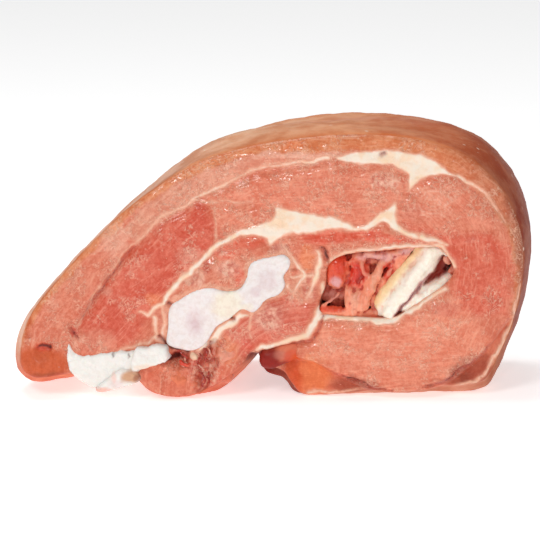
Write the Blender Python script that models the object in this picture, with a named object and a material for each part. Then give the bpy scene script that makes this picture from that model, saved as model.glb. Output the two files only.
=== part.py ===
"""A raw veal tendron: a thick slab cut across the breast, folded over on itself.

The cut face looks along -Y and the same section runs through to the back, which stands a little further right.
The outer fascia is on top, at the right and underneath. Metres, +Z up, origin at the bottom centre of the piece.

The sections are drawn in millimetres on the cut: x runs right from the left tip, z up from the board.
"""

import math

import bmesh
import bpy
import numpy as np
from mathutils import Vector
from mathutils.geometry import delaunay_2d_cdt

MM = 0.001

# Driving dimensions, in millimetres
CUT_LENGTH = 256.0
CUT_HEIGHT = 134.5
SLAB_DEPTH = 86.0
# The drawing's own size, which the driving dimensions stretch
DRAWN_LENGTH = 256.0
DRAWN_HEIGHT = 131.0

# The slab between its two cuts: millimetres, or shares of its size
BACK_SLANT = 0.16
BACK_TAPER = 0.955
LEFT_DEPTH_SHARE = 0.64
FULL_DEPTH_FROM = 0.6
EDGE_ROUNDING = 1.8
MID_BULGE = 1.6
BOARD_SETTLE = 4.5
TIP_DRIFT = 7.0
TOP_WAVE = 0.9
SIDE_WAVE = 0.7
DEPTH_STATIONS = (0, 1.2, 3, 6, 12, 22, 34, 48, 62, 74, 80, 83, 84.8, SLAB_DEPTH)
# Where the slab's changes start and end: shares, depths into the slab, and widths and heights on the cut
TAPER_SHARE = (0.3, 1)
TAPER_MIDDLE = (0.5, 0.45)
SETTLE_DEPTH = (4, 22)
SETTLE_HEIGHT = (4, 34)
DRIFT_DEPTH = (6, 40)
DRIFT_WIDTH = (0, 60)
DRIFT_HEIGHT = (15, 60)
SWAY_HEIGHT = (20, 90)
WAVE_HEIGHT = (60, 110)
# How fast the waves run, in millimetres
SWAY_PACE = 9
WAVE_DEPTH_PACE = 11
WAVE_WIDTH_PACE = 23
# The middle of the whole piece on the drawing, where its origin goes
CENTRE_X = 130.38
CENTRE_Y = 41.9

# Clearances and mesh sizes, in millimetres
FIT_GAP = 0.3
CUTTER_OVERRUN = 12.0
MEAT_GRID = 6.2
INSERT_GRID = 6.0
GRID_ROW_SHARE = 0.87
GRID_MARGIN_SHARE = 0.45
STEPS_PER_SPAN = 3
# How an insert is divided along its depth, and how far its rounded rim draws in
INSERT_SHARES = (0.2, 0.4, 0.6, 0.8)
RIM_STEP = 0.8
RIM_INSET_SHARE = 0.15
SHARP_ANGLE = math.radians(45)

# The whole section, clockwise from the left tip: back of the breast, folded flank, rim on the board, arch, and
# the ragged breast edge.
SECTION = [
    (3, 15), (2, 25), (5.5, 37.5), (13, 50), (36, 75.5), (63.5, 100.5), (96, 121.5), (138.5, 130.5),
    (188.5, 131), (223, 123.5), (242, 108), (252.6, 88), (254.8, 66), (250.5, 40), (239.5, 14), (231, 6),
    (204, 4), (168, 1.5), (145, 0.5), (138, 5), (132.5, 11), (124, 14), (119, 23), (114, 17.5),
    (102, 7.5), (88, 1.5), (76, 1), (67, 4), (58, 11), (40, 14), (22, 12), (10, 10.5),
]
# The fold's hollow, from its upper left corner.
HOLLOW = [
    (157, 67), (165, 72.5), (186, 75), (204, 76.5), (213, 76), (220, 66.5), (216, 58.5), (202, 49),
    (190, 41.5), (172, 41.5), (155, 43), (152.5, 48), (155.5, 57),
]
# Two lobes of rib cartilage joined by a neck.
RIB_CARTILAGE = [
    (76, 29), (77.5, 46), (91, 55), (103, 55), (112, 55), (117, 63.5), (122, 70), (135, 71.5), (137, 65),
    (134.5, 60), (134, 54), (125, 48.5), (118, 43.5), (109, 41), (100, 35), (95, 27), (87, 24),
]
# The pale breastbone end: a blunt wedge with a bar that runs right.
BREASTBONE = [
    (26.5, 26.5), (30.5, 24.5), (38, 21.5), (50, 23.5), (62, 24.8), (73, 26), (77.5, 21.5), (72, 17), (62, 13.5),
    (53, 6.5), (42, 4), (33, 8.5), (27, 15),
]
# Fat that fills the seams between the muscles.
UPPER_SEAM = [
    (157, 120.2), (169, 124), (195, 123.6), (210, 119.5), (221, 113), (228, 107), (224, 106.4), (213, 111),
    (203, 109.5), (198, 105), (194.5, 111), (186, 117), (170, 117.2),
]
MIDDLE_SEAM = [
    (102, 75), (112, 83.5), (125, 88), (132, 95.5), (150, 92.5), (166, 89), (176, 88.5), (186, 94.5),
    (192, 95.5), (194, 89), (199, 84), (192, 83), (184, 85.5), (172, 84.4), (150, 84.6), (133, 81),
    (115, 77.5),
]
# What fills the hollow: a thick fold of fat, and the bunched membrane beside it. Both are drawn past the
# hollow's walls and trimmed to them.
FOLD_FAT = [
    (201, 82), (213, 82), (217, 70), (209, 58), (199, 49), (193, 36), (181, 36), (180, 51), (188, 59), (197, 67),
]
FOLD_MEMBRANE = [
    (150, 64), (160, 78), (180, 82), (197, 82), (193, 68), (184, 60.5), (176, 52), (174, 37), (168, 37),
    (166, 50), (160, 55.5),
]
# Halfway back the hollow is squeezed shut: each fold spreads from the fat's middle line past its side of the hollow.
FOLD_MIDLINE = [(206, 94), (205, 78), (199, 64), (190, 52), (187, 26)]
LEFT_OF_HOLLOW = [(142, 26), (142, 60), (142, 94)]
RIGHT_OF_HOLLOW = [(232, 94), (232, 60), (232, 26)]
SQUEEZE_DEPTH = 27.0

# Lines on the cut that the muscles sink towards, left to right.
OUTER_FASCIA = [(30, 38), (40, 51), (50, 66), (69, 86), (95, 102.5), (119, 113), (156, 120)]
LOBE_CONTACT = [(119, 23), (127, 26), (135, 27.5), (145, 32), (150, 40)]
FLANK_LINE = [(222, 112), (238, 99.5), (246, 90)]
GROOVE_DEPTH = 1.4
GROOVE_WIDTH = 2.6
# The flank muscle's lower edge: the fascia below it stands back.
FLANK_EDGE = [(132, 24), (150, 20), (163, 12.5), (175, 7), (190, 4), (207, 5), (222, 12), (236, 24), (248, 42)]
FLANK_FADE = (120, 146)
SKIRT_SLOPE = (-0.5, 3.5)
SKIRT_SETBACK = 6.0
# The end of the folded flank stands back inside the arch, from the arch's left foot to where it meets the skirt.
ARCH_FOOT = (116, -10)
LOBE_END_FADE = (124, 148)
LOBE_END_SLOPE = (0.5, 4.5)
LOBE_END_SETBACK = 14.0
# The muscles swell in broad waves across and up the cut
MUSCLE_SWELL = 2.2
SWELL_WIDTH_PACE = 19
SWELL_HEIGHT_PACE = 15
SWELL_PHASE = 0.6
# The back cut's relief is softer, and both reliefs fade out along the sides
BACK_RELIEF_SHARE = 0.4
FRONT_RELIEF_DEPTH = 20
BACK_RELIEF_DEPTH = 12
# Round lumps and hollows of the ragged breast edge: x, z, radius, and how far each stands back.
LUMPS = [
    (82, 20, 7, 7.0), (76, 8, 12, -2.0), (97, 18, 6, 2.5), (108, 16, 9, -1.5), (14, 24, 6, 2.0), (12, 17, 7, -1.5),
]

# Plain finishes: colour and roughness
FINISHES = {
    "muscle": ((0.62, 0.17, 0.11), 0.4),
    "fat": ((0.86, 0.78, 0.64), 0.45),
    "cartilage": ((0.85, 0.80, 0.80), 0.35),
    "bone": ((0.90, 0.85, 0.74), 0.5),
    "membrane": ((0.70, 0.26, 0.20), 0.35),
}
# What runs through the slab: outline, front, back, the height of its domed end, the dome's reach, and its finish
INSERTS = {
    "rib_cartilage": (RIB_CARTILAGE, -0.5, SLAB_DEPTH - 2.5, 2.0, 5.0, "cartilage"),
    "breastbone": (BREASTBONE, -2.5, SLAB_DEPTH - 3, 2.0, 4.0, "bone"),
    "upper_seam_fat": (UPPER_SEAM, 1.0, SLAB_DEPTH - 2.5, 0.6, 2.0, "fat"),
    "middle_seam_fat": (MIDDLE_SEAM, 1.0, SLAB_DEPTH - 2.5, 0.6, 2.0, "fat"),
}
# What fills the hollow: the same, with the side that it spreads to halfway back
FOLDS = {
    "fold_fat": (FOLD_FAT, 5, SLAB_DEPTH - 8, 3.0, 7.0, "fat", FOLD_MIDLINE[::-1] + RIGHT_OF_HOLLOW),
    "fold_membrane": (FOLD_MEMBRANE, 13, SLAB_DEPTH - 12, 5.0, 9.0, "membrane", LEFT_OF_HOLLOW + FOLD_MIDLINE),
}


def clear_scene():
    for obj in list(bpy.data.objects):
        bpy.data.objects.remove(obj, do_unlink=True)


def collection(name):
    made = bpy.data.collections.new(name)
    bpy.context.scene.collection.children.link(made)
    return made


def finish(name):
    """A plain moist finish."""
    colour, roughness = FINISHES[name]
    made = bpy.data.materials.new(name)
    made.use_nodes = True
    shader = made.node_tree.nodes["Principled BSDF"]
    shader.inputs["Base Color"].default_value = (*colour, 1.0)
    shader.inputs["Roughness"].default_value = roughness
    shader.inputs["Metallic"].default_value = 0.0
    return made


def smooth_closed(points, steps=STEPS_PER_SPAN):
    """A closed Catmull-Rom curve through the points, as an array."""
    knots = np.array(points, float)
    before, after, beyond = np.roll(knots, 1, 0), np.roll(knots, -1, 0), np.roll(knots, -2, 0)
    rows = []
    for t in np.arange(steps) / steps:
        square = 2 * before - 5 * knots + 4 * after - beyond
        cubic = 3 * knots - before - 3 * after + beyond
        rows.append(0.5 * (2 * knots + (after - before) * t + square * t**2 + cubic * t**3))
    return np.stack(rows, 1).reshape(-1, 2)


def outward_normals(outline):
    """Unit normals of a clockwise closed outline."""
    along = np.roll(outline, -1, 0) - np.roll(outline, 1, 0)
    normals = np.stack([-along[:, 1], along[:, 0]], 1)
    return normals / np.linalg.norm(normals, axis=1, keepdims=True)


def offset(outline, distance):
    return outline + outward_normals(outline) * distance


def distance_to_line(points, line):
    """Distance from each point to an open polyline."""
    nearest = np.full(len(points), np.inf)
    knots = np.array(line, float)
    for start, end in zip(knots[:-1], knots[1:]):
        span = end - start
        t = np.clip((points - start) @ span / (span @ span), 0, 1)
        nearest = np.minimum(nearest, np.linalg.norm(points - start - t[:, None] * span, axis=1))
    return nearest


def inside(points, outline):
    """Which points lie inside a closed outline."""
    x, z = points[:, 0:1], points[:, 1:2]
    x0, z0 = outline[:, 0], outline[:, 1]
    x1, z1 = np.roll(x0, -1), np.roll(z0, -1)
    spans = (z0 > z) != (z1 > z)
    rise = np.where(z1 == z0, 1e-9, z1 - z0)
    return (spans & (x < (x1 - x0) * (z - z0) / rise + x0)).sum(1) % 2 == 1


def ease(value, low, high):
    """Rises smoothly from 0 at low to 1 at high."""
    t = np.clip((value - low) / (high - low), 0, 1)
    return t * t * (3 - 2 * t)


def below(line, points):
    """How far a point lies below a line that runs left to right, in millimetres."""
    knots = np.array(line, float)
    return np.interp(points[:, 0], knots[:, 0], knots[:, 1]) - points[:, 1]


def cut_relief(points):
    """How far the cut stands back from its plane: grooves at the seams, swollen muscles, the set-back skirt."""
    x, z = points[:, 0], points[:, 1]
    back = np.zeros(len(points))
    for line in (OUTER_FASCIA, LOBE_CONTACT, FLANK_LINE):
        back += GROOVE_DEPTH * np.exp(-((distance_to_line(points, line) / GROOVE_WIDTH) ** 2))
    for lump_x, lump_z, radius, setback in LUMPS:
        back += setback * (1 - ease(np.hypot(x - lump_x, z - lump_z), 0, radius))
    swell = np.sin(x / SWELL_WIDTH_PACE) * np.sin(z / SWELL_HEIGHT_PACE + SWELL_PHASE)
    back += 0.5 * MUSCLE_SWELL * (1 - swell)
    back += SKIRT_SETBACK * ease(below(FLANK_EDGE, points), *SKIRT_SLOPE) * ease(x, *FLANK_FADE)
    lobe_end = ease(below([ARCH_FOOT] + LOBE_CONTACT, points), *LOBE_END_SLOPE)
    return back + LOBE_END_SETBACK * lobe_end * (1 - ease(x, *LOBE_END_FADE))


def dome_relief(height, reach):
    """Relief for an insert: its end swells in the middle by height, and falls away within reach of its rim."""

    def relief(points, outline):
        rim = distance_to_line(points, np.vstack([outline, outline[:1]]))
        return height * (1 - np.sqrt(1 - (1 - np.clip(rim / reach, 0, 1)) ** 2))

    return relief


def grid_points(outline, spacing, margin):
    """A staggered grid inside an outline, clear of it by margin."""
    low, high = outline.min(0), outline.max(0)
    rows = []
    for row, z in enumerate(np.arange(low[1] + spacing / 2, high[1], spacing * GRID_ROW_SHARE)):
        start = low[0] + spacing * (0.5 if row % 2 else 1.0)
        rows += [(x, z) for x in np.arange(start, high[0], spacing)]
    found = np.array(rows)
    kept = inside(found, outline)
    kept &= distance_to_line(found, np.vstack([outline, outline[:1]])) > margin
    return found[kept]


def add_cap(bm, ring, spacing, depth_at, faces_front):
    """Fills a ring of vertices with a triangulated grid, whose depth a function gives."""
    outline = np.array([(v.co.x, v.co.z) for v in ring]) / MM
    inner = grid_points(outline, spacing, spacing * GRID_MARGIN_SHARE)
    flat = [Vector(p) for p in np.vstack([outline, inner])]
    edges = [(i, (i + 1) % len(ring)) for i in range(len(ring))]
    corners, _, triangles, _, _, _ = delaunay_2d_cdt(flat, edges, [], 1, 1e-6)
    if len(corners) != len(flat):
        raise RuntimeError("a cap's outline crosses itself, or its grid is too near")
    depths = depth_at(inner)
    verts = list(ring)
    for (x, z), y in zip(inner, depths):
        verts.append(bm.verts.new((x * MM, y * MM, z * MM)))
    for triangle in triangles:
        corner = [verts[i] for i in triangle]
        a, b, c = (v.co for v in corner)
        turned = (b.x - a.x) * (c.z - a.z) - (b.z - a.z) * (c.x - a.x) > 0
        if turned != faces_front:
            corner.reverse()
        bm.faces.new(corner)


def lofted(name, sections, spacing, front, back, material, home):
    """A closed solid through sections of (outline, depth array), capped by relief grids."""
    bm = bmesh.new()
    rings = []
    for outline, depth in sections:
        rings.append([bm.verts.new((x * MM, y * MM, z * MM)) for (x, z), y in zip(outline, depth)])
    for ring, following in zip(rings[:-1], rings[1:]):
        for i in range(len(ring)):
            j = (i + 1) % len(ring)
            bm.faces.new((ring[i], ring[j], following[j], following[i]))
    add_cap(bm, rings[0], spacing, front, True)
    add_cap(bm, rings[-1], spacing, back, False)
    bmesh.ops.recalc_face_normals(bm, faces=bm.faces)
    return placed(name, bm, material, home)


def placed(name, bm, material, home):
    """Turns a bmesh drawn on the cut's grid into an object: thinner at its left end, and slanting to the right."""
    for vert in bm.verts:
        share = min(max(vert.co.x / (FULL_DEPTH_FROM * DRAWN_LENGTH * MM), 0), 1)
        vert.co.y *= LEFT_DEPTH_SHARE + (1 - LEFT_DEPTH_SHARE) * share * (2 - share)
        vert.co.x = vert.co.x * CUT_LENGTH / DRAWN_LENGTH + vert.co.y * BACK_SLANT - CENTRE_X * MM
        vert.co.y -= CENTRE_Y * MM
        vert.co.z *= CUT_HEIGHT / DRAWN_HEIGHT
    mesh = bpy.data.meshes.new(name)
    bm.to_mesh(mesh)
    bm.free()
    mesh.shade_smooth()
    mesh.set_sharp_from_angle(angle=SHARP_ANGLE)
    if material:
        mesh.materials.append(material)
    obj = bpy.data.objects.new(name, mesh)
    home.objects.link(obj)
    return obj


def body_section(outline, depth):
    """The whole section at one depth: rounded at both cuts, fuller and settled on the board in between."""
    share = depth / SLAB_DEPTH
    rim = min(depth, SLAB_DEPTH - depth)
    rounding = EDGE_ROUNDING * (1 - math.sqrt(1 - (1 - min(rim / (2 * EDGE_ROUNDING), 1)) ** 2))
    ring = offset(outline, MID_BULGE * math.sin(math.pi * share) - rounding)
    centre = np.array([TAPER_MIDDLE[0] * DRAWN_LENGTH, TAPER_MIDDLE[1] * DRAWN_HEIGHT])
    ring = centre + (ring - centre) * (1 - (1 - BACK_TAPER) * ease(share, *TAPER_SHARE))
    x, z = ring[:, 0], ring[:, 1]
    settled = BOARD_SETTLE * ease(depth, *SETTLE_DEPTH) * (1 - ease(z, *SETTLE_HEIGHT))
    drifted = TIP_DRIFT * ease(depth, *DRIFT_DEPTH) * (1 - ease(x, *DRIFT_WIDTH)) * (1 - ease(z, *DRIFT_HEIGHT))
    swayed = SIDE_WAVE * math.sin(depth / SWAY_PACE) * ease(z, *SWAY_HEIGHT)
    waved = TOP_WAVE * np.sin(depth / WAVE_DEPTH_PACE + x / WAVE_WIDTH_PACE) * ease(z, *WAVE_HEIGHT)
    return np.stack([x - drifted + swayed, np.maximum(z - settled + waved, 0)], 1)


def make_meat(home):
    outline = smooth_closed(SECTION)
    sections = []
    for depth in DEPTH_STATIONS:
        ring = body_section(outline, depth)
        near_front = 1 - ease(depth, 0, FRONT_RELIEF_DEPTH)
        near_back = 1 - ease(SLAB_DEPTH - depth, 0, BACK_RELIEF_DEPTH)
        relief = cut_relief(ring)
        sections.append((ring, depth + relief * near_front - BACK_RELIEF_SHARE * relief * near_back))
    return lofted(
        "meat",
        sections,
        MEAT_GRID,
        cut_relief,
        lambda points: SLAB_DEPTH - BACK_RELIEF_SHARE * cut_relief(points),
        bpy.data.materials["muscle"],
        home,
    )


def make_insert(name, points, front, back, height, reach, material, home):
    """A solid that runs through the slab: a rounded prism between the two cuts."""
    outline = smooth_closed(points)
    dome = dome_relief(height, reach)
    rounding = RIM_INSET_SHARE * height
    stations = [front + height, front + height + RIM_STEP]
    stations += [front + (back - front) * share for share in INSERT_SHARES]
    stations += [back - height - RIM_STEP, back - height]
    insets = [rounding] + [0] * (len(stations) - 2) + [rounding]
    sections = []
    for depth, inset in zip(stations, insets):
        ring = offset(outline, -inset)
        sections.append((ring, np.full(len(ring), depth)))
    return lofted(
        name,
        sections,
        INSERT_GRID,
        lambda p: front + dome(p, outline),
        lambda p: back - dome(p, outline),
        material,
        home,
    )


def hide(tool):
    """Keeps a cutter out of the model."""
    tool.hide_render = True
    tool.display_type = "WIRE"
    return tool


def make_cutter(name, points, gap, home):
    """A prism that runs right through the slab, wider than its outline by gap."""
    ring = offset(smooth_closed(points), gap)
    bm = bmesh.new()
    near = [bm.verts.new((x * MM, -CUTTER_OVERRUN * MM, z * MM)) for x, z in ring]
    far = [bm.verts.new((x * MM, (SLAB_DEPTH + CUTTER_OVERRUN) * MM, z * MM)) for x, z in ring]
    for i in range(len(near)):
        j = (i + 1) % len(near)
        bm.faces.new((near[i], near[j], far[j], far[i]))
    bm.faces.new(near)
    bm.faces.new(far)
    bmesh.ops.recalc_face_normals(bm, faces=bm.faces)
    return hide(placed(name, bm, None, home))


def combine(obj, tool, operation):
    modifier = obj.modifiers.new(tool.name, "BOOLEAN")
    modifier.operation = operation
    modifier.solver = "EXACT"
    modifier.object = tool


def build():
    clear_scene()
    parts = collection("veal_tendron")
    cutters = collection("cutters")
    materials = {name: finish(name) for name in FINISHES}

    meat = make_meat(parts)
    combine(meat, make_cutter("hollow_cutter", HOLLOW, 0, cutters), "DIFFERENCE")
    for name, (points, front, back, height, reach, material) in INSERTS.items():
        make_insert(name, points, front, back, height, reach, materials[material], parts)
        combine(meat, make_cutter(name + "_cutter", points, FIT_GAP, cutters), "DIFFERENCE")
    hollow_room = make_cutter("hollow_room", HOLLOW, -FIT_GAP, cutters)
    for name, (points, front, back, height, reach, material, spread) in FOLDS.items():
        fold = make_insert(name, points, front, back, height, reach, materials[material], parts)
        squeeze = make_insert(
            name + "_squeeze", spread, SQUEEZE_DEPTH, SLAB_DEPTH - SQUEEZE_DEPTH, height, reach, None, cutters
        )
        hide(squeeze)
        combine(fold, squeeze, "UNION")
        combine(fold, hollow_room, "INTERSECT")
    combine(fold, make_cutter("fold_fat_cutter", FOLD_FAT, FIT_GAP, cutters), "DIFFERENCE")


build()
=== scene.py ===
"""The looks of a raw veal tendron: moist flesh, seam fat, cartilage, breastbone, the open fold and the skin.

Shapes are drawn in millimetres on the shown cut, as the model's own sections are: x runs right from the
breast's thin tip, z up from the board, and depth back from the shown cut.
"""

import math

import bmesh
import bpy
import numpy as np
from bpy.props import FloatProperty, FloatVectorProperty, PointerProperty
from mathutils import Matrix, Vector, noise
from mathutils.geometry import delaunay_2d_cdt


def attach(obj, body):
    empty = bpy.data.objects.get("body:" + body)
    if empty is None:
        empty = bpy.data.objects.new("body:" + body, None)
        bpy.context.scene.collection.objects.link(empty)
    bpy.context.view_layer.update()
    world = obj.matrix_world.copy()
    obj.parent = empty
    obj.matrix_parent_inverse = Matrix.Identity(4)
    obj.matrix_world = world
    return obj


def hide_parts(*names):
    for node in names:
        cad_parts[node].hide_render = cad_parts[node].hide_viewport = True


bl_info = {
    "name": "Raw Veal Tendron",
    "version": (1, 0, 0),
    "blender": (4, 5, 0),
    "location": "View3D > Sidebar > Tendron",
    "description": "Builds the finished surfaces of a thick raw slab of folded veal breast",
    "category": "Object",
}

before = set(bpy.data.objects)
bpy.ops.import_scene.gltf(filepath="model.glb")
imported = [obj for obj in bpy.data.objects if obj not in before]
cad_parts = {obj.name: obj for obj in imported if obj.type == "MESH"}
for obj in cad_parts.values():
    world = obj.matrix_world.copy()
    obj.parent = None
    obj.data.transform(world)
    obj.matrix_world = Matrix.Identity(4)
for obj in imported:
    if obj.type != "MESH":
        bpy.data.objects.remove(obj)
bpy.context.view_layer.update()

MM = 0.001

# The slab, in millimetres or shares of its size, as the model has it: its section, depth and slant,
# its roundings and waves, and the drawing's place for the middle of its box
CUT_LENGTH = 256.0
CUT_HEIGHT = 134.5
SLAB_DEPTH = 86.0
DRAWN_LENGTH = 256.0
DRAWN_HEIGHT = 131.0
BACK_SLANT = 0.16
BACK_TAPER = 0.955
LEFT_DEPTH_SHARE = 0.64
FULL_DEPTH_FROM = 0.6
EDGE_ROUNDING = 1.8
MID_BULGE = 1.6
BOARD_SETTLE = 4.5
TIP_DRIFT = 7.0
TOP_WAVE = 0.9
SIDE_WAVE = 0.7
CENTRE_X = 130.38
CENTRE_Y = 41.9

# Outlines on the cut
SECTION = [
    (3, 15), (2, 25), (5.5, 37.5), (13, 50), (36, 75.5), (63.5, 100.5), (96, 121.5), (138.5, 130.5),
    (188.5, 131), (223, 123.5), (242, 108), (252.6, 88), (254.8, 66), (250.5, 40), (239.5, 14), (231, 6),
    (204, 4), (168, 1.5), (145, 0.5), (138, 5), (132.5, 11), (124, 14), (119, 23), (114, 17.5),
    (102, 7.5), (88, 1.5), (76, 1), (67, 4), (58, 11), (40, 14), (22, 12), (10, 10.5),
]
HOLLOW = [
    (157, 67), (165, 72.5), (186, 75), (204, 76.5), (213, 76), (220, 66.5), (216, 58.5), (202, 49),
    (190, 41.5), (172, 41.5), (155, 43), (152.5, 48), (155.5, 57),
]
RIB_CARTILAGE = [
    (76, 29), (77, 37), (78, 46.5), (84.5, 52), (92, 56), (98.5, 57), (104.5, 55.2), (109.5, 55), (114, 57),
    (116.5, 62), (117.5, 67), (120.5, 70), (127.5, 72), (134.5, 73), (138, 70), (137.5, 66), (134.8, 62),
    (135.5, 57.5), (132.5, 53), (126, 50), (123, 46.5), (119.5, 44), (114, 45.6), (108, 41), (101.5, 37),
    (99, 33.5), (95.5, 28), (90.5, 25), (84.5, 24.6), (79, 26.4),
]
BREASTBONE = [
    (26.4, 29.4), (27.6, 29), (29, 25.8), (31.6, 23.2), (36, 22.4), (43, 23.4), (50, 24.2), (58, 24.8),
    (67, 26.4),
    (73.4, 27.4), (75.6, 25.6), (77.8, 22), (76.8, 19.6), (72, 18), (65.6, 16.2), (61.6, 13.4),
    (58, 9.6), (52, 6.4),
    (46, 5), (41, 5.2), (35.6, 7.6), (30, 11), (26.6, 15.4), (25.6, 20.6), (26, 25.4),
]
BONE_BAR = [
    (58.6, 16), (59.6, 23), (61, 26.2), (66, 26.8), (71.4, 28), (75.4, 27.4), (77, 24.6), (77.4, 21.6),
    (76, 19.4),
    (70, 17.6), (64, 15.8), (60.4, 14.4),
]
BONE_WEDGE = [
    (40.6, 5.6), (43.4, 8.6), (48, 12.4), (53, 15.6), (59.6, 15), (63, 12), (62, 9.4), (55, 6.6),
    (47, 4.4), (42.4, 4.2),
]
UPPER_SEAM = [
    (160, 121), (168, 123.6), (179.7, 125), (190, 125), (198, 124), (209.7, 120), (217, 115.6),
    (225, 110.4),
    (216.5, 112.8), (209, 112.8), (203, 110), (198.6, 106), (196.5, 104.6), (196.6, 111), (193.6, 115),
    (189, 117), (178, 118), (168, 118),
]
MIDDLE_SEAM = [
    (76.6, 54.6), (86.6, 64.8), (96.4, 75), (102.5, 80), (113, 85.9), (121, 87.5), (130, 92), (131, 97),
    (140, 95),
    (150.5, 93), (162, 91), (168, 88), (173.5, 87), (179, 91), (186, 96), (192, 99), (191.5, 93), (194, 87),
    (204, 82), (199.5, 81), (189.5, 86), (185, 89), (177, 85), (168, 85), (163, 86), (153, 85), (140, 84),
    (133, 81), (127.5, 77.5), (125, 81.5), (114, 82.6), (104.5, 77.6), (98.6, 72.6), (88.4, 62.4),
    (79.5, 53),
    (77, 48), (73, 46.5), (74.5, 50),
]
# Strokes of fat: x, z and half width
FAT_STROKES = [
    [(69, 87, 0.4), (74, 91, 0.6), (86.5, 98, 0.7), (94.5, 103, 1.0), (105, 108, 0.8), (118.5, 114, 0.7),
     (133.5, 117, 0.8), (143.5, 119, 0.9), (156, 121, 1.4)],
    [(29, 36.5, 0.25), (36.5, 45, 0.5), (40, 52.6, 0.3), (49.5, 67.6, 0.3), (59.5, 77.8, 0.35),
     (69, 87, 0.5)],
    [(92.5, 23.8, 0.9), (98.4, 28.4, 1.9), (103, 34, 2.3), (108, 38.2, 2.1), (113, 42.2, 1.5),
     (117, 42.6, 0.7)],
    [(75, 47.5, 0.5), (74.6, 40, 0.7), (74.2, 33, 0.8), (75, 28.6, 0.9)],
    [(88.5, 99, 0.5), (103, 99, 0.3), (119, 99, 0.3), (119.5, 101, 0.3)],
    [(101.5, 96, 0.2), (101, 80, 0.4)],
    [(222, 112.5, 1.2), (233, 105, 0.8), (240, 97, 0.6), (246, 88, 0.3)],
    [(204, 82, 1.4), (216.5, 78, 0.8)],
    [(62, 44, 0.5), (67, 43, 1.0), (74, 48, 1.3)],
    [(70.5, 42, 1.0), (71, 34, 0.8), (72, 31, 0.6)],
    [(50.5, 24, 0.4), (60.5, 27, 0.7), (70.5, 31, 0.8), (76, 28, 0.9)],
    [(119, 44, 0.5), (118.5, 31, 0.3)],
    [(134.5, 78, 0.5), (139, 72, 0.8), (143, 66, 1.0), (145.5, 62, 1.2), (141, 56, 0.8), (138, 50, 0.4)],
    [(151.5, 75, 0.8), (152.4, 69, 1.4), (152, 62, 1.6), (149, 56, 0.9), (146.5, 51, 0.4)],
    [(137.5, 62, 0.5), (141, 61, 0.8), (145.5, 62, 0.9), (151.5, 63, 0.6)], [(136, 57.6, 0.9),
     (138.6, 54, 0.5)],
    [(118.5, 23.4, 0.4), (123.5, 26, 1.5), (136, 29, 1.7), (146, 32, 1.7), (150.5, 38, 1.9),
     (153, 46, 1.6), (155, 58, 1.2)],
    [(151.5, 40.5, 1.6), (160, 42, 1.9), (173.5, 41.8, 1.8), (182, 40.2, 2.2), (190, 40.6, 1.6),
     (202, 47, 1.4), (216, 57, 1.0)],
    [(158, 69, 1.0), (166, 74, 1.0), (186, 76.4, 1.2), (204, 77.8, 1.0), (214, 77, 1.2), (221, 67, 0.9)],
    [(253.6, 58, 0.5), (250, 40, 0.9), (239, 16, 0.9), (231, 7, 0.8), (213, 5, 0.6)],
    [(146, 2, 0.9), (163, 2.6, 0.7), (176, 3.2, 0.3)],
]
# Strokes of dark crease, sunk into the cut and darkened there with painted shade: x, z and half width
CREASE_STROKES = [
    [(33, 41, -0.2), (41.4, 52, -0.05), (50.8, 66.6, -0.05), (61, 76.5, -0.3)],
    [(150, 19, -0.7), (159, 15, -0.3), (166.5, 11.4, 0.15), (173.5, 8.4, 0.2), (181.5, 6, 0.0),
     (190, 5, -0.4)],
    [(204, 5.6, -0.4), (213, 8, 0.1), (223.5, 13.6, 0.2), (235, 22.6, -0.1), (246.5, 36, -0.6)],
    [(119, 21, 0.2), (126, 24, 0.2), (137, 26.8, 0.1), (148.6, 29.6, -0.1), (153.4, 36, 0.1),
     (155.6, 43, 0.1)],
    [(10.4, 25.6, -0.2), (14, 27.2, 0.6), (18, 26.4, 0.9), (19.4, 28.6, -0.2)],
    [(26.5, 35.5, 0.0), (28.5, 33, 0.5), (31.5, 30.6, 0.1)],
    [(73, 31, 0.4), (79, 26, 0.8), (86, 24, 0.7)],
    [(66, 19.5, 0.4), (74, 18, 0.7), (80, 21, 1.6)],
    [(96, 24, -0.3), (98, 28.5, 0.3)],
    [(91, 7, -0.3), (94, 11, 0.2), (93, 15, -0.4)],
    [(153.5, 76.5, 0.2), (154.6, 75.4, 0.8), (155.6, 71, 0.8), (156, 70, 0.2)],
    [(108.4, 41.6, 0.5), (109.6, 41, 0.5)],
    [(77.8, 48.6, 0.5), (79, 48, 0.4)],
    [(55, 23.4, 0.2), (57, 22.4, 0.4)],
    [(183, 123, 0.2), (184.4, 123.2, 0.4)],
]
# Lines that the flesh sinks towards, and the lower edge of the folded flank's muscle
OUTER_FASCIA = [(30, 38), (40, 51), (50, 66), (69, 86), (95, 102.5), (119, 113), (156, 120)]
LOBE_CONTACT = [(119, 23), (127, 26), (135, 27.5), (145, 32), (150, 40)]
FLANK_LINE = [(222, 112), (238, 99.5), (246, 90)]
GROOVE_DEPTH = 1.4
GROOVE_WIDTH = 2.6
FLANK_EDGE = [
    (132, 24), (150, 20), (163, 12.5), (175, 7), (190, 4), (207, 5), (222, 12), (236, 24), (248, 42),
]
FLANK_FADE = (120, 146)
# The dark gap and the slit in the fold of fat
FOLD_GAP = [(205.5, 57), (213.6, 71), (219.4, 68.4), (219.6, 66)]
FOLD_SLIT = [(207.6, 62, 0.3), (200, 53, 0.2), (190.6, 42.4, 0.3)]
SKIRT_SETBACK = 6.0
ARCH_FOOT = (116, -10)
LOBE_END_FADE = (124, 148)
LOBE_END_SETBACK = 14.0
MUSCLE_SWELL = 2.2
BACK_RELIEF_SHARE = 0.4
# How far the flesh sinks out of sight behind the ends of cartilage and bone, at the front and the back
FRONT_SINK = 3.0
BACK_SINK = 4.0
# How far the folds stop short of the back cut
BACK_FOLD_INSET = 6.0
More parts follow.
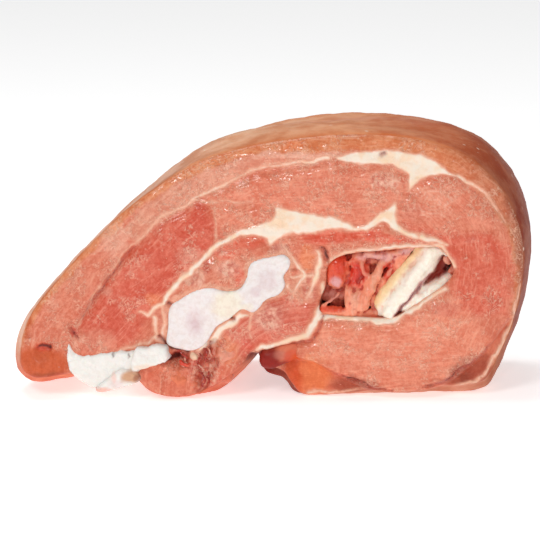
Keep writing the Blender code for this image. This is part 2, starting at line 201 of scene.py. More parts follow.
# The torn trough between the two lumps of the breast edge
TROUGH = [(100, 28, 2.0), (97.5, 22, 4.2), (94.5, 13, 4.2), (94, 6, 2.4)]
TROUGH_DEPTH = 3.6
# Torn strands across the breast edge: name, tone, seed, and runs of x, depth and z
SHREDS = [
    ("shreds", "blood", 1.0, [
        [(91, 4, 25), (93, 3.4, 21), (91.5, 3.4, 17)], [(94, 4, 27), (96.5, 3.6, 22), (95.5, 3.6, 18)],
        [(97.5, 3.6, 15), (96, 3.4, 11), (97, 4, 8)], [(81, 4, 24), (84, 3, 22.5), (87, 2.6, 20)],
        [(92.5, 4, 13), (95, 3.6, 9), (93.5, 4, 5.5)],
    ]),
    ("threads", "mesh_pale", 4.0, [
        [(85, 2.4, 21), (87.5, 2.2, 18.6), (86, 2.6, 16.6)], [(96, 3.4, 25), (98.5, 3.2, 21.5)],
        [(92, 3.4, 17.5), (94.5, 3.2, 15)], [(98, 3.6, 12.5), (99.5, 3.6, 10)], [(82, 3.4, 18.5),
         (85, 3, 17)],
    ]),
]
# Lumps and dips of the breast edge and the tip: x, z, radius and how far they stand back from the cut
LUMPS = [
    (82, 20, 7, 7.0), (76, 8, 12, -2.0), (97, 18, 6, 2.5), (108, 16, 9, -1.5), (14, 24, 6, 2.0),
    (12, 17, 7, -1.5),
]
# The tan fascia under the skin: a band on the cut along its outer edge, with its width at each point
SKIN_BAND = [
    (3, 15, 1.5), (2, 25, 1.5), (5.5, 37.5, 2.0), (13, 50, 2.5), (36, 75.5, 3.0), (63.5, 100.5, 3.0),
    (80, 112, 4.5), (96, 121.5, 6.0), (118, 129, 6.0), (138.5, 130.5, 6.5), (188.5, 131, 6.0),
    (211, 127.5, 7.5),
    (223, 123.5, 9.5), (242, 108, 9.5), (252.6, 88, 6.5), (254.8, 66, 3.5), (250.5, 40, 2.0),
    (239.5, 14, 1.0),
]
UNDERSIDE_LINE = [(231, 6), (204, 4), (168, 1.5), (145, 0.5)]
# Broad tones of the flesh on the cut: tone, softness and outline
TONE_FIELDS = [
    ("rosy", 10.0, [(30, 38), (50, 66), (69, 86), (100, 105), (101, 78), (82, 57), (70, 44), (60, 30),
      (36, 24)]),
    ("salmon", 3.0, [(94, 102), (118, 113), (156, 120), (178, 118), (196, 114), (197, 104), (192, 98),
      (173, 87),
                     (150, 93), (131, 97), (103, 86)]),
    ("salmon", 4.0, [(197, 104), (202, 110), (222, 111), (240, 96), (236, 86), (215, 84), (196, 88)]),
    ("clay", 6.0, [(196, 88), (215, 84), (238, 84), (249, 74), (246, 44), (222, 44), (221, 66), (212, 78)]),
    ("pale", 6.0, [(150, 38), (190, 39), (222, 50), (240, 30), (222, 12), (190, 5), (160, 15), (144, 24)]),
    ("pink", 2.0, [(71, 104), (97, 116), (118, 123), (154, 125), (166, 124), (154, 119.5), (119, 112.5),
      (95, 102),
                   (74, 90), (62, 80), (56, 84)]),
    ("low_red", 4.0, [(62, 15), (80, 18), (100, 30), (112, 21), (100, 7), (86, 1), (68, 3)]),
    ("warm", 4.0, [(100, 36), (118, 44), (136, 52), (150, 48), (146, 34), (122, 27), (106, 28)]),
]
# Smaller patches on the cut: tone, x, z, half width, half height, strength
PATCHES = [
    ("blood", 97, 66, 2, 4, 0.6),
    ("mesh_pale", 107, 66, 7, 4.5, 0.7), ("mesh_pale", 91, 62, 7, 4.5, 0.7),
    ("wet_flesh", 113, 61, 3.4, 6, 0.7),
    ("orange", 147, 70, 4, 8, 0.75), ("fat_rim", 142, 56, 6, 7, 0.5), ("mauve", 133, 75.5, 6, 3.5, 0.7),
    ("mauve", 128, 42, 9, 8, 0.45),
    ("wet_flesh", 158, 82, 11, 3.6, 0.9), ("wet_flesh", 176, 82.4, 13, 3, 0.85),
    ("wet_flesh", 194, 79.6, 13, 3, 0.8),
    ("wet_flesh", 106, 75, 8, 5, 0.75), ("wet_flesh", 118, 79, 8, 3, 0.6),
    ("wet_flesh", 147, 82, 6, 3, 0.6),
    ("orange", 70, 51, 5, 4, 0.6), ("mauve", 75.5, 39, 2, 5, 0.7), ("pink", 40, 31, 12, 6, 0.6),
    ("whitish", 51, 80, 8, 9, 0.35), ("whitish", 142, 122.5, 22, 2, 0.5),
    ("orange", 139, 127.5, 7, 2.5, 0.7),
    # Under the tip, the brown patch is painted shade, and the wet red patch at x 15 is painted shade in the
    # tip's crease
    ("tan", 14, 18, 16, 11, 0.85), ("brown", 18, 11.6, 11, 3.0, 0.7), ("wet_red", 15, 26.4, 5, 2.0, 0.4),
    ("tan", 6, 34, 3, 14, 0.6),
    ("wet_red", 29, 33.4, 2.6, 2.6, 0.7), ("blood", 83, 22, 4, 4, 0.9),
    # The purple patches at the folded flank's end are painted shade
    ("wet_flesh", 96, 15, 7, 11, 0.7), ("blood", 92, 22, 7, 4, 0.5), ("purple", 128, 20.5, 9, 5, 0.95),
    ("purple", 121, 17, 6, 5, 0.7), ("orange", 149, 11, 11, 12, 0.9), ("amber", 138.5, 12, 5, 12, 0.95),
    # The skirt and brown patches below the flank are the fascia's tone, partly painted shade under the
    # muscle's edge
    ("skirt", 170, 6.5, 13, 6, 0.9), ("brown", 178, 5.5, 8, 2.2, 0.5), ("skirt", 231, 13, 12, 10, 0.9),
    ("brown", 221, 9, 10, 3, 0.5), ("rust", 229, 81, 3, 2, 0.5), ("rust", 221, 69, 3, 3, 0.4),
    ("rust", 217, 46, 8, 4, 0.5), ("pale", 210, 99, 10, 6, 0.5), ("whitish", 46.5, 54, 4, 2.5, 0.4),
    ("mesh_pale", 88, 73, 7, 4, 0.35), ("brown", 250, 100, 6, 12, 0.5), ("brown", 254, 80, 4, 18, 0.5),
    ("blood", 86, 18, 5, 2.4, 0.5), ("lobe_dark", 200, 94, 5, 6, 0.35),
    ("orange", 106, 25, 6, 7, 0.5), ("wet_red", 115.5, 26, 3.6, 5, 0.5),
]
# Where pale and dark threads cross in the flesh: x, z, half width, half height
HATCHES = [
    (90, 61, 6, 4), (108, 66, 6, 4), (128, 41, 7, 6), (185, 110, 8, 4), (104, 74, 3, 2), (148, 57, 4, 7),
]
# Where the fibres turn in pale arcs: x, z and reach, with the arcs' pace across them
SWIRLS = [(209, 99, 14), (186, 108, 9)]
SWIRL_PACE = 2.8
# Where moisture glints on the cut: x, z, half width, half height, strength
BEAD_PATCHES = [
    (183, 106, 14, 9, 1.0), (215, 85, 8, 5, 0.9), (241, 89, 3, 3, 1.0), (211, 99, 13, 9, 0.7),
    (248, 76, 4, 10, 0.9),
    (200, 20, 50, 12, 0.35), (60, 66, 26, 22, 0.35), (100, 96, 22, 10, 0.4), (140, 106, 30, 9, 0.4),
    (242, 32, 4, 6, 0.9), (30, 42, 14, 14, 0.4), (80, 18, 16, 14, 0.4), (128, 40, 12, 9, 0.5),
    (88, 70, 9, 6, 0.6),
    (107, 66, 7, 6, 0.7), (220, 30, 30, 20, 0.25), (50, 80, 12, 12, 0.5),
]
# The skin's tone along the top, by x on the cut: lightened on the left slope with a painted highlight, and
# darker towards the right
SKIN_TONES = [
    (0, "skin_pale"), (40, "skin_pale"), (80, "skin_left"), (105, "skin_mid"), (160, "skin_top"),
    (212, "skin_dark"),
    (256, "skin_far"),
]

# Noise on the surfaces: reach, size in millimetres, seed, and octaves where not three
FIELD_WAVER = (1.2, 6.0, 1.7)
BAND_WAVER = (0.8, 5.0, 8.3)
PATCH_WAVER = (0.25, 4.0, 3.1)
HATCH_LINES = (1.0, 2.0, 3.7)
SWIRL_WAVER = (2.5, 5.0, 2.9)
TORN_SHREDS = (1.0, 2.0, 6.6, 4)
TORN_COARSE = (1.6, 3.6, 4.0)
TORN_FINE = (0.8, 1.6, 8.0)
BROAD_UNEVEN = (2.2, 24.0, 6.0, 2)
SMALL_UNEVEN = (1.0, 6.0, 2.0)
FIBRE_UNEVEN = (0.5, (9.0, 2.2), 5.0)
SKIN_BLOTCHES = (1.0, (28, 20, 28), 4.0)
SKIN_WRINKLES = [(1.0, (9, 28, 9), 6.0), (0.4, 3.2, 9.0)]
INSERT_RAGGED = [(1.0, 3.4, 5.0), (0.6, 1.5, 9.0)]
CARTILAGE_BUMPS = [(0.25, 8.0, 2.2)]
BONE_BUMPS = [(0.7, 7.0, 4.2), (0.45, 2.6, 1.2)]
EDGE_BUMPS = [(0.9, 6.0, 1.2), (0.45, 2.2, 7.2)]
FOLD_END_BUMPS = [(0.4, 6.0, 1.2)]
FOLD_FAT_BUMPS = [(0.5, 5.0, 1.2), (0.2, 2.0, 7.2)]
MEMBRANE_BUMPS = [(0.8, (2.6, 6, 8), 1.2), (0.3, 1.8, 7.2)]
SCRIBBLE = (1.0, 3.0, 5.5)
# How far what is drawn on the cut drifts: noise size, reach and seed
DRIFTS = [(11.0, 1.5, 11.0), (3.6, 0.6, 31.0)]
DRIFT_SEED_GAP = 7.0
DRIFT_OCTAVES = 2
# Points between two knots of an outline that distances are measured to
MEASURED_STEPS = 4
LEAST_OUTLINE_POINTS = 8
# A cap's grid: its rows' pitch and its distance from the outline, as shares of its step
GRID_ROW_SHARE = 0.87
GRID_MARGIN_SHARE = 0.5
SAME_POINT = 1e-6
# Marks a place with no fat or crease near, in millimetres
NONE_NEAR = -9.0

# Where a change on the cut begins and ends: pairs of distances into a shape, or of places in x or z
PATCH_EDGE = (0.55, 1.25)
BAND_EDGE = (-0.8, 0.8)
BAND_CORE = (-0.5, 2)
BAND_BROWN_X = (205, 240)
HATCH_EDGE = (0.7, 1.2)
HATCH_LINE_EDGE = (0.0, 0.25)
SWIRL_LINE_EDGE = (0.45, 0.9)
CARTILAGE_RIM = (0.8, 2.6)
TORN_PAINT_EDGE = (-5.0, -1.0)
TORN_DARK_EDGE = (-0.1, 0.25)
TORN_PALE_EDGE = (0.12, 0.35)
LOW_EDGE = (0.3, 2.4)
LOW_EDGE_Z = (18, 34)
LOW_EDGE_X = (120, 126)
CALM_EDGE = (-0.5, 1.5)
CALM_X = (128, 136)
CALM_TIP = (13, 18, 15, 9)
CALM_TIP_EDGE = (0.8, 1.2)
# How strongly these changes paint
BAND_BROWN_SHARE = 0.8
HATCH_DARK_SHARE = 0.65
HATCH_PALE_SHARE = 0.75
SWIRL_SHARE = 0.55
SWIRL_FLATTENING = 1.4
SWIRL_CORE = 0.6
CARTILAGE_RIM_SHARE = 0.7
TORN_DARK_SHARE = 0.8
TORN_PALE_SHARE = 0.75
LOW_EDGE_SHARE = 0.5

# The cut's relief: depths and reaches in millimetres
SWELL_ACROSS = 19
SWELL_UP = 15
SWELL_START = 0.6
SKIRT_SLOPE = (-0.5, 3.5)
LOBE_END_SLOPE = (0.5, 4.5)
LIP_DEPTH = 1.6
LIP_REACH = 3.5
FAT_RAISED = 0.5
FAT_SLOPE = (-0.4, 0.8)
CREASE_SINK = 2.0
CREASE_SLOPE = (-1.5, 0.2)
FAT_DIP = 1.1
FAT_DIP_REACH = 3.5
TOP_ROUNDING = 3.2
TOP_ROUNDING_REACH = 7.0
TOP_Z = (55, 100)
TOP_X = (60, 120)
TORN_EDGE = (-4.0, 0.5)
TROUGH_SLOPE = (-2.0, 1.5)
INSERT_EDGE = (0.3, 1.5)

# The section's change through the slab: where it tapers, settles, drifts and waves
SECTION_MIDDLE = (0.5, 0.45)
TAPER_FROM = 0.3
SETTLE_DEPTHS = (4, 22)
SETTLE_Z = (4, 34)
DRIFT_DEPTHS = (6, 40)
DRIFT_X = (0, 60)
DRIFT_Z = (15, 60)
SIDE_WAVE_PACE = 9
SIDE_WAVE_Z = (20, 90)
TOP_WAVE_PACE = 11
TOP_WAVE_LENGTH = 23
TOP_WAVE_Z = (60, 110)
# Depths at which the section is drawn: close together near both cuts
RIM_STATIONS = [0, 0.4, 0.9, 1.6, 2.5, 3.7, 5.2]
STATIONS = [*RIM_STATIONS, 7, *np.linspace(9, SLAB_DEPTH - 7, 34)]
STATIONS += [SLAB_DEPTH - at for at in reversed(RIM_STATIONS)]
# How far in from each cut its relief fades
FLESH_FADE = (0, 20)
INSERT_FADE = (4, 20)
BACK_FADE = (0, 12)
# A cartilage or bone end: the steps behind its rim, the rings along it and how far the rim stands in
INSERT_RIM_STEPS = (0.8, 3)
INSERT_RINGS = 24
INSERT_RIM_SHARE = 0.15

# The skin: where tones begin and end by depth from a cut, or by x or z of the outline, and their strength
SKIN_TONE_DEPTHS = (0.2, 2.5)
SKIN_FINISH_DEPTHS = (0.4, 2.0)
SKIN_BLOTCH_LIGHT = 0.10
PEACH_SHARE = 0.8
PEACH_WAVER = 3
PEACH_DEPTHS = (1, 20)
PEACH_X = (150, 235)
STREAK_SHARE = 0.7
STREAK_WAVER = 14
STREAK_DEPTH = 52
STREAK_WIDTH = 9
STREAK_X = (190, 220)
UNDERSIDE_Z = (3, 12)
UNDERSIDE_X = (130, 150)
RAGGED_Z = (14, 26)
RAGGED_X = (120, 132)
# Where the skin under the folded flank's end is darkened with painted purple shade
LOBE_END_Z = (22, 30)
LOBE_END_FROM_X = (112, 118)
LOBE_END_TO_X = (140, 146)
# The hollow's wall: strength and depths of its tones, the last a painted shade that darkens it further in
WALL_PINK_SHARE = 0.8
WALL_PINK_DEPTHS = (0.5, 3)
WALL_WET_SHARE = 0.6
WALL_WET_DEPTHS = (2, 8)
WALL_WET_Z = (42, 50)
WALL_SHADE_SHARE = 0.9
WALL_SHADE_DEPTHS = (10, 34)
WALL_FAT_DEPTH = 2

# Tones that tint a painted surface, as colours with opacity
FLESH_SHADE = (0.86, 0.70, 0.64, 1.0)
FLESH_SHINE = (0.95, 0.62, 0.45, 1.0)
# Pale tints for threads, and for the curls and glints that are painted highlights of wet sheen
THREAD_AND_SHEEN_TONE = (0.93, 0.56, 0.40, 1.0)
GLINT_TONE = (0.95, 0.62, 0.46, 1.0)
SKIN_SHADE = (0.84, 0.66, 0.55, 1.0)
SKIN_SHINE = (0.95, 0.62, 0.40, 1.0)
SKIN_THREAD = (0.92, 0.55, 0.34, 1.0)
SKIN_FLECK = (0.95, 0.78, 0.62, 1.0)
TISSUE_SHADE = (0.78, 0.62, 0.56, 1.0)
WET_SHADE = (0.7, 0.5, 0.45, 1.0)
SCATTER_RADII = (1.0, 0.35, 0.22)
# Noise in the finishes: scale, detail, roughness and distortion
EDGE_NOISE = (380.0, 3.0)
FIBRE_NOISE = (1.0, 4.0, 0.6, 1.0)
CURL_NOISE = (360.0, 2.0, 0.5, 1.2)
CURL_PATCHES = (90.0, 3.0)
GLINT_PATCHES = (140.0, 2.0)
FLESH_MOTTLE = (95.0, 3.0)
FLESH_FINE = (420.0, 4.0, 0.65)
CREAM_PATCHES = (120.0, 3.0)
SKIN_MOTTLE = (60.0, 4.0, 0.6)
SKIN_FINE = (520.0, 4.0, 0.65)
FLECK_PATCHES = (45.0, 2.0)
WET_PATCHES = (300.0, 2.0)
# How far the fibres' noise is squeezed along and across them, and the skin's on each axis
FIBRE_SQUEEZE = (0.09, 0.55, 1.0)
SKIN_SQUEEZE = (0.35, 1.0, 0.6)
GLINT_CELLS = 520.0
FLECK_CELLS = 150.0
# How strongly each mark tints the flesh: curls and glints are painted highlights, the crease and its halo
# painted shade
SHINE_SHARE = 0.14
THREAD_SHARE = 0.15
CURL_SHEEN_SHARE = 0.45
GLINT_SHARE = 0.3
RIM_SHARE = 0.35
CREASE_HALO_SHADE_SHARE = 0.45
CREASE_SHADE_SHARE = 0.9
# Finishes: roughness, coat, scatter and its reach in millimetres
SURFACES = {
    "moist_flesh": (0.4, 0.3, 0.1, 1.5),
    "outer_skin": (0.5, 0.03, 0.05, 1.0),
    "pale_floor": (0.7, 0.0, 0.0, 1.0),
}
WET_SURFACE = (0.25, 0.8, 0.1, 0.5)
# Tissues: the grain's scale and contrast, roughness, coat, scatter, relief in millimetres, and gloss
TISSUES = {
    "waxy_cartilage": (420.0, 0.25, 0.34, 0.25, 0.2, 0.25, 0.22),
    "chalky_bone": (520.0, 0.12, 0.5, 0.08, 0.1, 0.4, 0.22),
    "ragged_flesh": (420.0, 0.35, 0.36, 0.4, 0.1, 0.6, 0.22),
    "smooth_fascia": (300.0, 0.3, 0.4, 0.06, 0.05, 0.3, 0.08),
    "fold_fat": (380.0, 0.25, 0.42, 0.2, 0.2, 0.4, 0.22),
    "wet_membrane": (300.0, 0.4, 0.28, 0.45, 0.1, 0.6, 0.12),
}
TISSUE_SCATTER = 2.5
COAT_ROUGHNESS = 0.12
PLAIN_GLOSS = 0.22
SKIN_GLOSS = 0.06
# How unsteady and how blurred the edges of fat and creases are, in millimetres
FAT_EDGE = {"Waver": 1.5, "Blur": 0.5}
CREASE_EDGE = {"Waver": 1.6, "Blur": 0.5}

# Beads of moisture and torn strands
BEAD_DENSITY = 38000.0
BEAD_SIZE = 0.4
BEAD_SEED = 5
BEAD_LEAST = (0.4, 0.4, 0.25)
BEAD_MOST = (1.4, 0.9, 0.5)
BEAD_BACKGROUND = 0.02
BEAD_EDGE = (0.3, 1.0)
BEAD_DEPTH = 9
BEAD_CLEARANCE = -0.5
STRAND_THICKNESS = 0.4
STRAND_UNREST = 8
STRAND_STEP = 0.6
STRAND_NOISE_SCALE = 260.0
# A tube's sides lean on this direction, and its two ends are narrower
TUBE_LEAN = (0.3, 0.9, 0.2)
TUBE_END_SHARE = 0.55

# Creases of the lumps and folds, darkened with painted shade, and ridges of the membrane, lightened with a
# painted highlight: rounds of smoothing that find them, depths and strength
CREASE_ROUNDS = 8
MEMBRANE_CREASE_ROUNDS = 10
EDGE_CREASE_SHADE = (0.08, 0.4)
EDGE_CREASE_SHADE_SHARE = 0.8
FAT_CREASE_SHADE = (0.1, 0.45)
FAT_CREASE_SHADE_SHARE = 0.7
MEMBRANE_CREASE_SHADE = (0.05, 0.4)
MEMBRANE_CREASE_SHADE_SHARE = 0.85
MEMBRANE_RIDGE_HIGHLIGHT = (0.15, 0.5)
MEMBRANE_RIDGE_HIGHLIGHT_SHARE = 0.5
MEMBRANE_RIDGE_HIGHLIGHT_X = (163, 168)
# Tones of the folds by depth from the nearer cut: painted shade, a deeper red and then dark further in
MEMBRANE_RED_SHADE_DEPTHS = (7.5, 12)
MEMBRANE_RED_SHADE_SHARE = 0.75
MEMBRANE_SHADE_DEPTHS = (14, 26)
FAT_SHADE_DEPTHS = (20, 34)
FOLD_SHADE_SHARE = 0.9
MEMBRANE_VOXEL_SHARE = 0.75

# The fold of fat: lines beside which it turns yellow or is scribbled, and its gap and slit, sunk and darkened
# with painted shade
YELLOW_LINE = [(178, 40), (184, 47), (203, 72), (207, 80)]
YELLOW_EDGE = (-2, 5)
YELLOW_SHARE = 0.85
SCRIBBLE_LINE = [(186, 36), (191, 42.4), (208.5, 64), (219, 74)]
SCRIBBLE_WIDTH = 0.12
SCRIBBLE_SHARE = 0.2
GAP_SINK = 8
GAP_EDGE = (-1.4, 1.0)
SLIT_SINK = 3.5
SLIT_EDGE = (-0.9, 0.3)
GAP_DEPTHS = (13, 22)
GAP_SHADE_EDGE = (-0.8, 0.4)
GAP_SHADE_SHARE = 0.9
SLIT_SHADE_EDGE = (-1.3, -0.4)
SLIT_SHADE_SHARE = 0.8

# The stage: lamps with their place, size and power, the floor, and the camera's view in degrees and metres
LAMPS = [
    ("key", (-0.5, -1.0, 0.9), 0.4, 4.95),
    ("fill", (0.9, -0.9, 0.5), 0.9, 1.5),
    ("glint", (-0.15, -1.3, 0.38), 0.06, 1.9),
    ("top", (-0.2, 0.15, 1.2), 0.7, 4.9),
]
LAMP_AIM = (0, 0, 0.06)
WORLD_LIGHT = 0.30
FLOOR_RADIUS = 4
FLOOR_DROP = 0.4
FLOOR_TONE = (0.97, 0.97, 0.97, 1)
FLOOR_GLOW = 0.5
CAMERA_TURN = 0.65
CAMERA_RISE = 13
CAMERA_REACH = 1.5
CAMERA_AIM = (-0.0019, -0.0418, 0.0675)
SENSOR_WIDTH = 36
VIEW_WIDTH = 0.27

# Patches on the rib cartilage, as on the cut: tone, x, z, half width, half height, strength
CARTILAGE_PATCHES = [
    ("cartilage_mauve", 90.5, 39.5, 5.4, 7, 0.30), ("cartilage_mauve", 91, 38, 2.6, 3.4, 0.4),
    ("cartilage_mauve", 127, 60.5, 5, 6, 0.28), ("cartilage_mauve", 121, 54.6, 3.2, 2.8, 0.35),
    ("cartilage_neck", 107, 48, 8, 9, 0.75), ("cartilage_neck", 117, 47, 4, 2, 0.5),
]
# Patches on the breastbone
BONE_PATCHES = [
    ("bone_tan", 58.5, 12, 5, 3.4, 0.9), ("brown", 62, 11.4, 2.2, 2, 0.6),
    ("bone_pink", 44, 5.2, 5, 1.4, 0.9),
    ("bone_pink", 50, 11.6, 1.6, 3, 0.5), ("lilac", 51, 8, 4, 2.4, 0.25),
    # The two crease patches darken the bone's upper edge with painted shade
    ("crease_red", 49.5, 22.6, 0.7, 1.4, 0.7),
    ("crease_red", 57.4, 22.4, 0.5, 1.3, 0.7), ("fat_cream", 68, 17, 9, 1.6, 0.5),
]

# The breastbone's parts: name, outline, front, back, height and reach of the domed end, raggedness
BONE_PARTS = [
    ("breastbone_end", BREASTBONE, -0.4, SLAB_DEPTH - 1.6, 1.6, 3.6, 0.7),
    ("breastbone_bar", BONE_BAR, -2.6, 14.0, 0.9, 1.6, 0.5),
    ("breastbone_wedge", BONE_WEDGE, -2.4, 12.0, 1.0, 1.8, 0.4),
]

# Lumps of the breast edge, as tubes of x, depth, z and radius
EDGE_TUBES = [
    [(68, 6, 13, 3.5), (74, 7, 10.5, 6.5), (82, 7, 9.5, 7.5), (88, 7, 10, 5)],
    [(87, 5, 8.5, 3.2), (90, 4.5, 5, 2.4), (90.5, 5, 3.4, 1.6)],
    [(101, 7, 26, 4.5), (107, 7, 22, 7), (111, 8, 17.5, 6)], [(104, 5.5, 29.5, 4), (107, 6, 26, 5)],
    [(108, 8, 12.5, 5), (102, 8, 10.5, 4.6), (97, 8, 9, 4)], [(113, 7.5, 25, 4), (115.5, 8.5, 20.5, 3.6)],
    [(82, 3.5, 20, 1.1), (84, 2, 17.6, 1.2), (87, 1.8, 17, 1.2), (89, 3.4, 19, 1.0)],
    [(87.5, 3.5, 23.5, 1.6), (90, 3, 21, 2.0), (91.5, 4, 20, 1.4)],
]

# Patches on the breast edge
EDGE_PATCHES = [
    ("mesh_pale", 105.5, 22, 5, 8, 0.55), ("wet_red", 84.5, 20, 5, 4, 0.8), ("deep_red", 96, 10, 4, 5, 0.7),
    ("orange", 115, 21, 4, 7, 0.9), ("wet_red", 116, 23, 2.4, 4, 0.4),
    ("fat_cream", 90, 22, 3, 2.6, 0.9), ("tan", 14, 18, 14, 9, 0.95),
    # The brown patch under the tip is painted shade
    ("brown", 14, 11, 12, 3, 0.7), ("peach", 14, 21, 7, 3, 0.4), ("orange", 82, 11, 8, 4, 0.3),
    ("pale", 90, 5, 2.5, 3, 0.5), ("deep_red", 72, 8, 6, 3, 0.4), ("deep_red", 103, 30, 4, 2, 0.6),
]

# The folded flank's end, as tubes
FOLD_END_TUBES = [
    [(143, 6.5, 25.4, 4), (135, 6, 22.4, 5.2), (128, 6, 20, 5.6), (122.4, 6.6, 20.4, 4.8)],
    [(146, 7.5, 24, 3), (141, 7.5, 20, 4)],
]

# Patches on the folded flank's end
FOLD_END_PATCHES = [
    # The purple patches are painted shade on the underside of the fold's end
    ("purple", 125, 19, 11, 9, 1.0), ("purple", 134, 17, 6, 3, 0.8), ("mauve", 134, 22.6, 4, 2.4, 0.6),
    ("rosy", 139, 22, 4, 4, 0.7), ("amber", 141, 19, 2.4, 4, 0.7),
]

# Ridges of the fold of fat, as tubes
FOLD_FAT_TUBES = [
    [(211, 7, 76.4, 3.2), (203.5, 6, 66, 3.8), (196, 5.5, 55, 4.6), (188.5, 5, 45, 4.2),
     (186, 6.4, 41, 3.6)],
    [(205, 11, 76, 3.4), (201, 11, 71, 3.6), (192, 9, 60, 4.4), (183.5, 8, 49.5, 4.2), (181.5, 9, 44, 3)],
    [(218, 9, 61.5, 3), (211, 7.5, 55, 4.2), (202, 6.5, 48.5, 4), (194, 6.5, 43.8, 2.6)],
    [(216, 16, 62, 4), (206, 15, 55, 5), (197, 14, 49, 4)],
]

# Folds and strands of the membrane, as tubes
MEMBRANE_TUBES = [
    [(160, 18, 67, 7), (158, 17, 50, 7), (166, 17, 47, 6)], [(170, 17, 69, 7), (168, 17, 50, 7)],
    [(182, 16.5, 68, 7), (175, 16, 50, 7)], [(193, 17, 70, 7), (186, 16, 57, 7), (182, 16, 46, 6)],
    [(166, 13, 62, 4.5), (172, 13, 58, 5), (178, 13, 62, 4.5)], [(164, 12, 55, 3.5), (170, 12, 50, 4.5)],
    [(176, 12, 56, 4), (179, 12, 47, 4)], [(166, 13, 69, 4), (176, 13, 69, 4), (186, 13, 68, 4)],
    [(158, 12, 70, 5), (160.5, 9.6, 66, 6.6), (161, 9.2, 60.4, 6.2), (158, 11, 56, 4.4)],
    [(170, 12, 73, 3), (172, 9, 66, 3.5), (170, 9, 58, 3.5), (166, 8, 53, 2.2)],
    [(167.5, 9, 70, 1.4), (170.5, 7, 65, 1.7), (169, 6.6, 60, 1.5), (171, 6, 55, 1.7)],
    [(174.5, 8, 71, 1.5), (173.6, 6, 66, 1.6), (176.4, 5.6, 61, 1.5), (172.6, 5.4, 56, 1.6)],
    [(188.5, 8, 73.4, 1.9), (183, 5.6, 65.6, 2.2), (178.4, 4.4, 57, 3.0), (174.6, 4.8, 50, 3.6),
     (173, 5.2, 44, 3.6)],
    [(167, 6.6, 57, 2.4), (167.6, 5.4, 51, 3.2), (169, 5.8, 45, 3.4), (171, 6.6, 41.4, 2.6)],
    [(171, 6.6, 55, 3.2), (171.4, 5.8, 49, 3.8), (172, 6.2, 43, 3.8)], [(173, 9, 67, 3.6),
     (175, 9, 61, 3.6)],
    [(176, 12, 72.5, 3), (188, 12, 73, 2.6), (200, 12, 74, 2.2)],
    [(174, 8, 72.6, 1.6), (183, 8.4, 71, 1.7), (193, 8.4, 73.4, 1.6), (201, 9, 76, 1.4)],
    [(182, 9, 69, 1.6), (190, 8.6, 69.4, 1.7), (197, 9, 72.4, 1.5)],
    [(179, 9, 58, 2), (178.6, 8, 51, 2.2), (180, 9.4, 44.5, 2.2)],
    [(195, 10, 72, 3), (189, 9.5, 65, 3), (184, 9.5, 57, 3), (181, 9.5, 50, 2.8)],
    [(190, 7.6, 67, 1.3), (186, 7, 62, 1.5), (183, 7.6, 56.6, 1.3)],
    [(152, 13, 51, 3.6), (159, 13, 51, 4.2), (166, 13, 51, 3.4)],
    [(151, 6.4, 44.6, 2.4), (161, 6, 43.8, 2.6), (170, 6.2, 43, 2.6), (179, 8, 42.6, 2.2),
     (184, 9, 43.6, 2)],
    [(215.5, 8, 71, 1.6), (217.4, 8, 67, 1.5)], [(218.4, 11, 73, 2.6), (220.6, 11, 66, 2.8),
     (217, 12, 60, 2.4)],
    [(163, 4.8, 53.4, 1.0), (158, 5, 49.4, 0.8), (153, 5, 45.6, 0.8)],
]

# Patches on the membrane
MEMBRANE_PATCHES = [
    # The lilac patch at x 160.5 is a painted highlight on the ball
    ("wet_flesh", 160, 66, 9, 10, 0.95), ("wet_red", 163, 68, 4, 5, 0.5), ("lilac", 160.5, 59, 3, 3, 0.85),
    ("wet_red", 171, 61, 5, 9, 0.95), ("lilac", 174, 71.6, 4, 3, 0.6), ("lilac", 184, 71, 9, 2.4, 0.75),
    ("lilac", 197, 74, 7, 2.5, 0.8), ("wet_red", 175, 65, 3, 5, 0.7), ("fold_pink", 172, 50, 7, 7, 0.95),
    ("wet_flesh", 158, 45.4, 9, 2, 0.95), ("wet_red", 187, 64, 3.6, 5, 0.9),
    # The mauve patch at x 158, z 51.4 is painted shade in a dark hollow
    ("mauve", 158, 51.4, 7, 3.4, 0.95),
    # The fat rim patch at x 170.4 is a painted highlight on the lit face of the salmon fold
    ("fat_rim", 170.4, 49, 2.4, 6, 0.6), ("fat_rim", 180.6, 61, 1.6, 7, 0.4),
    ("deep_red", 181, 46, 3.4, 3, 0.9),
    ("mauve", 219, 68, 3, 8, 0.8), ("mauve", 216, 69, 4, 5, 0.9), ("fold_pink", 193, 69, 3, 2, 0.6),
]

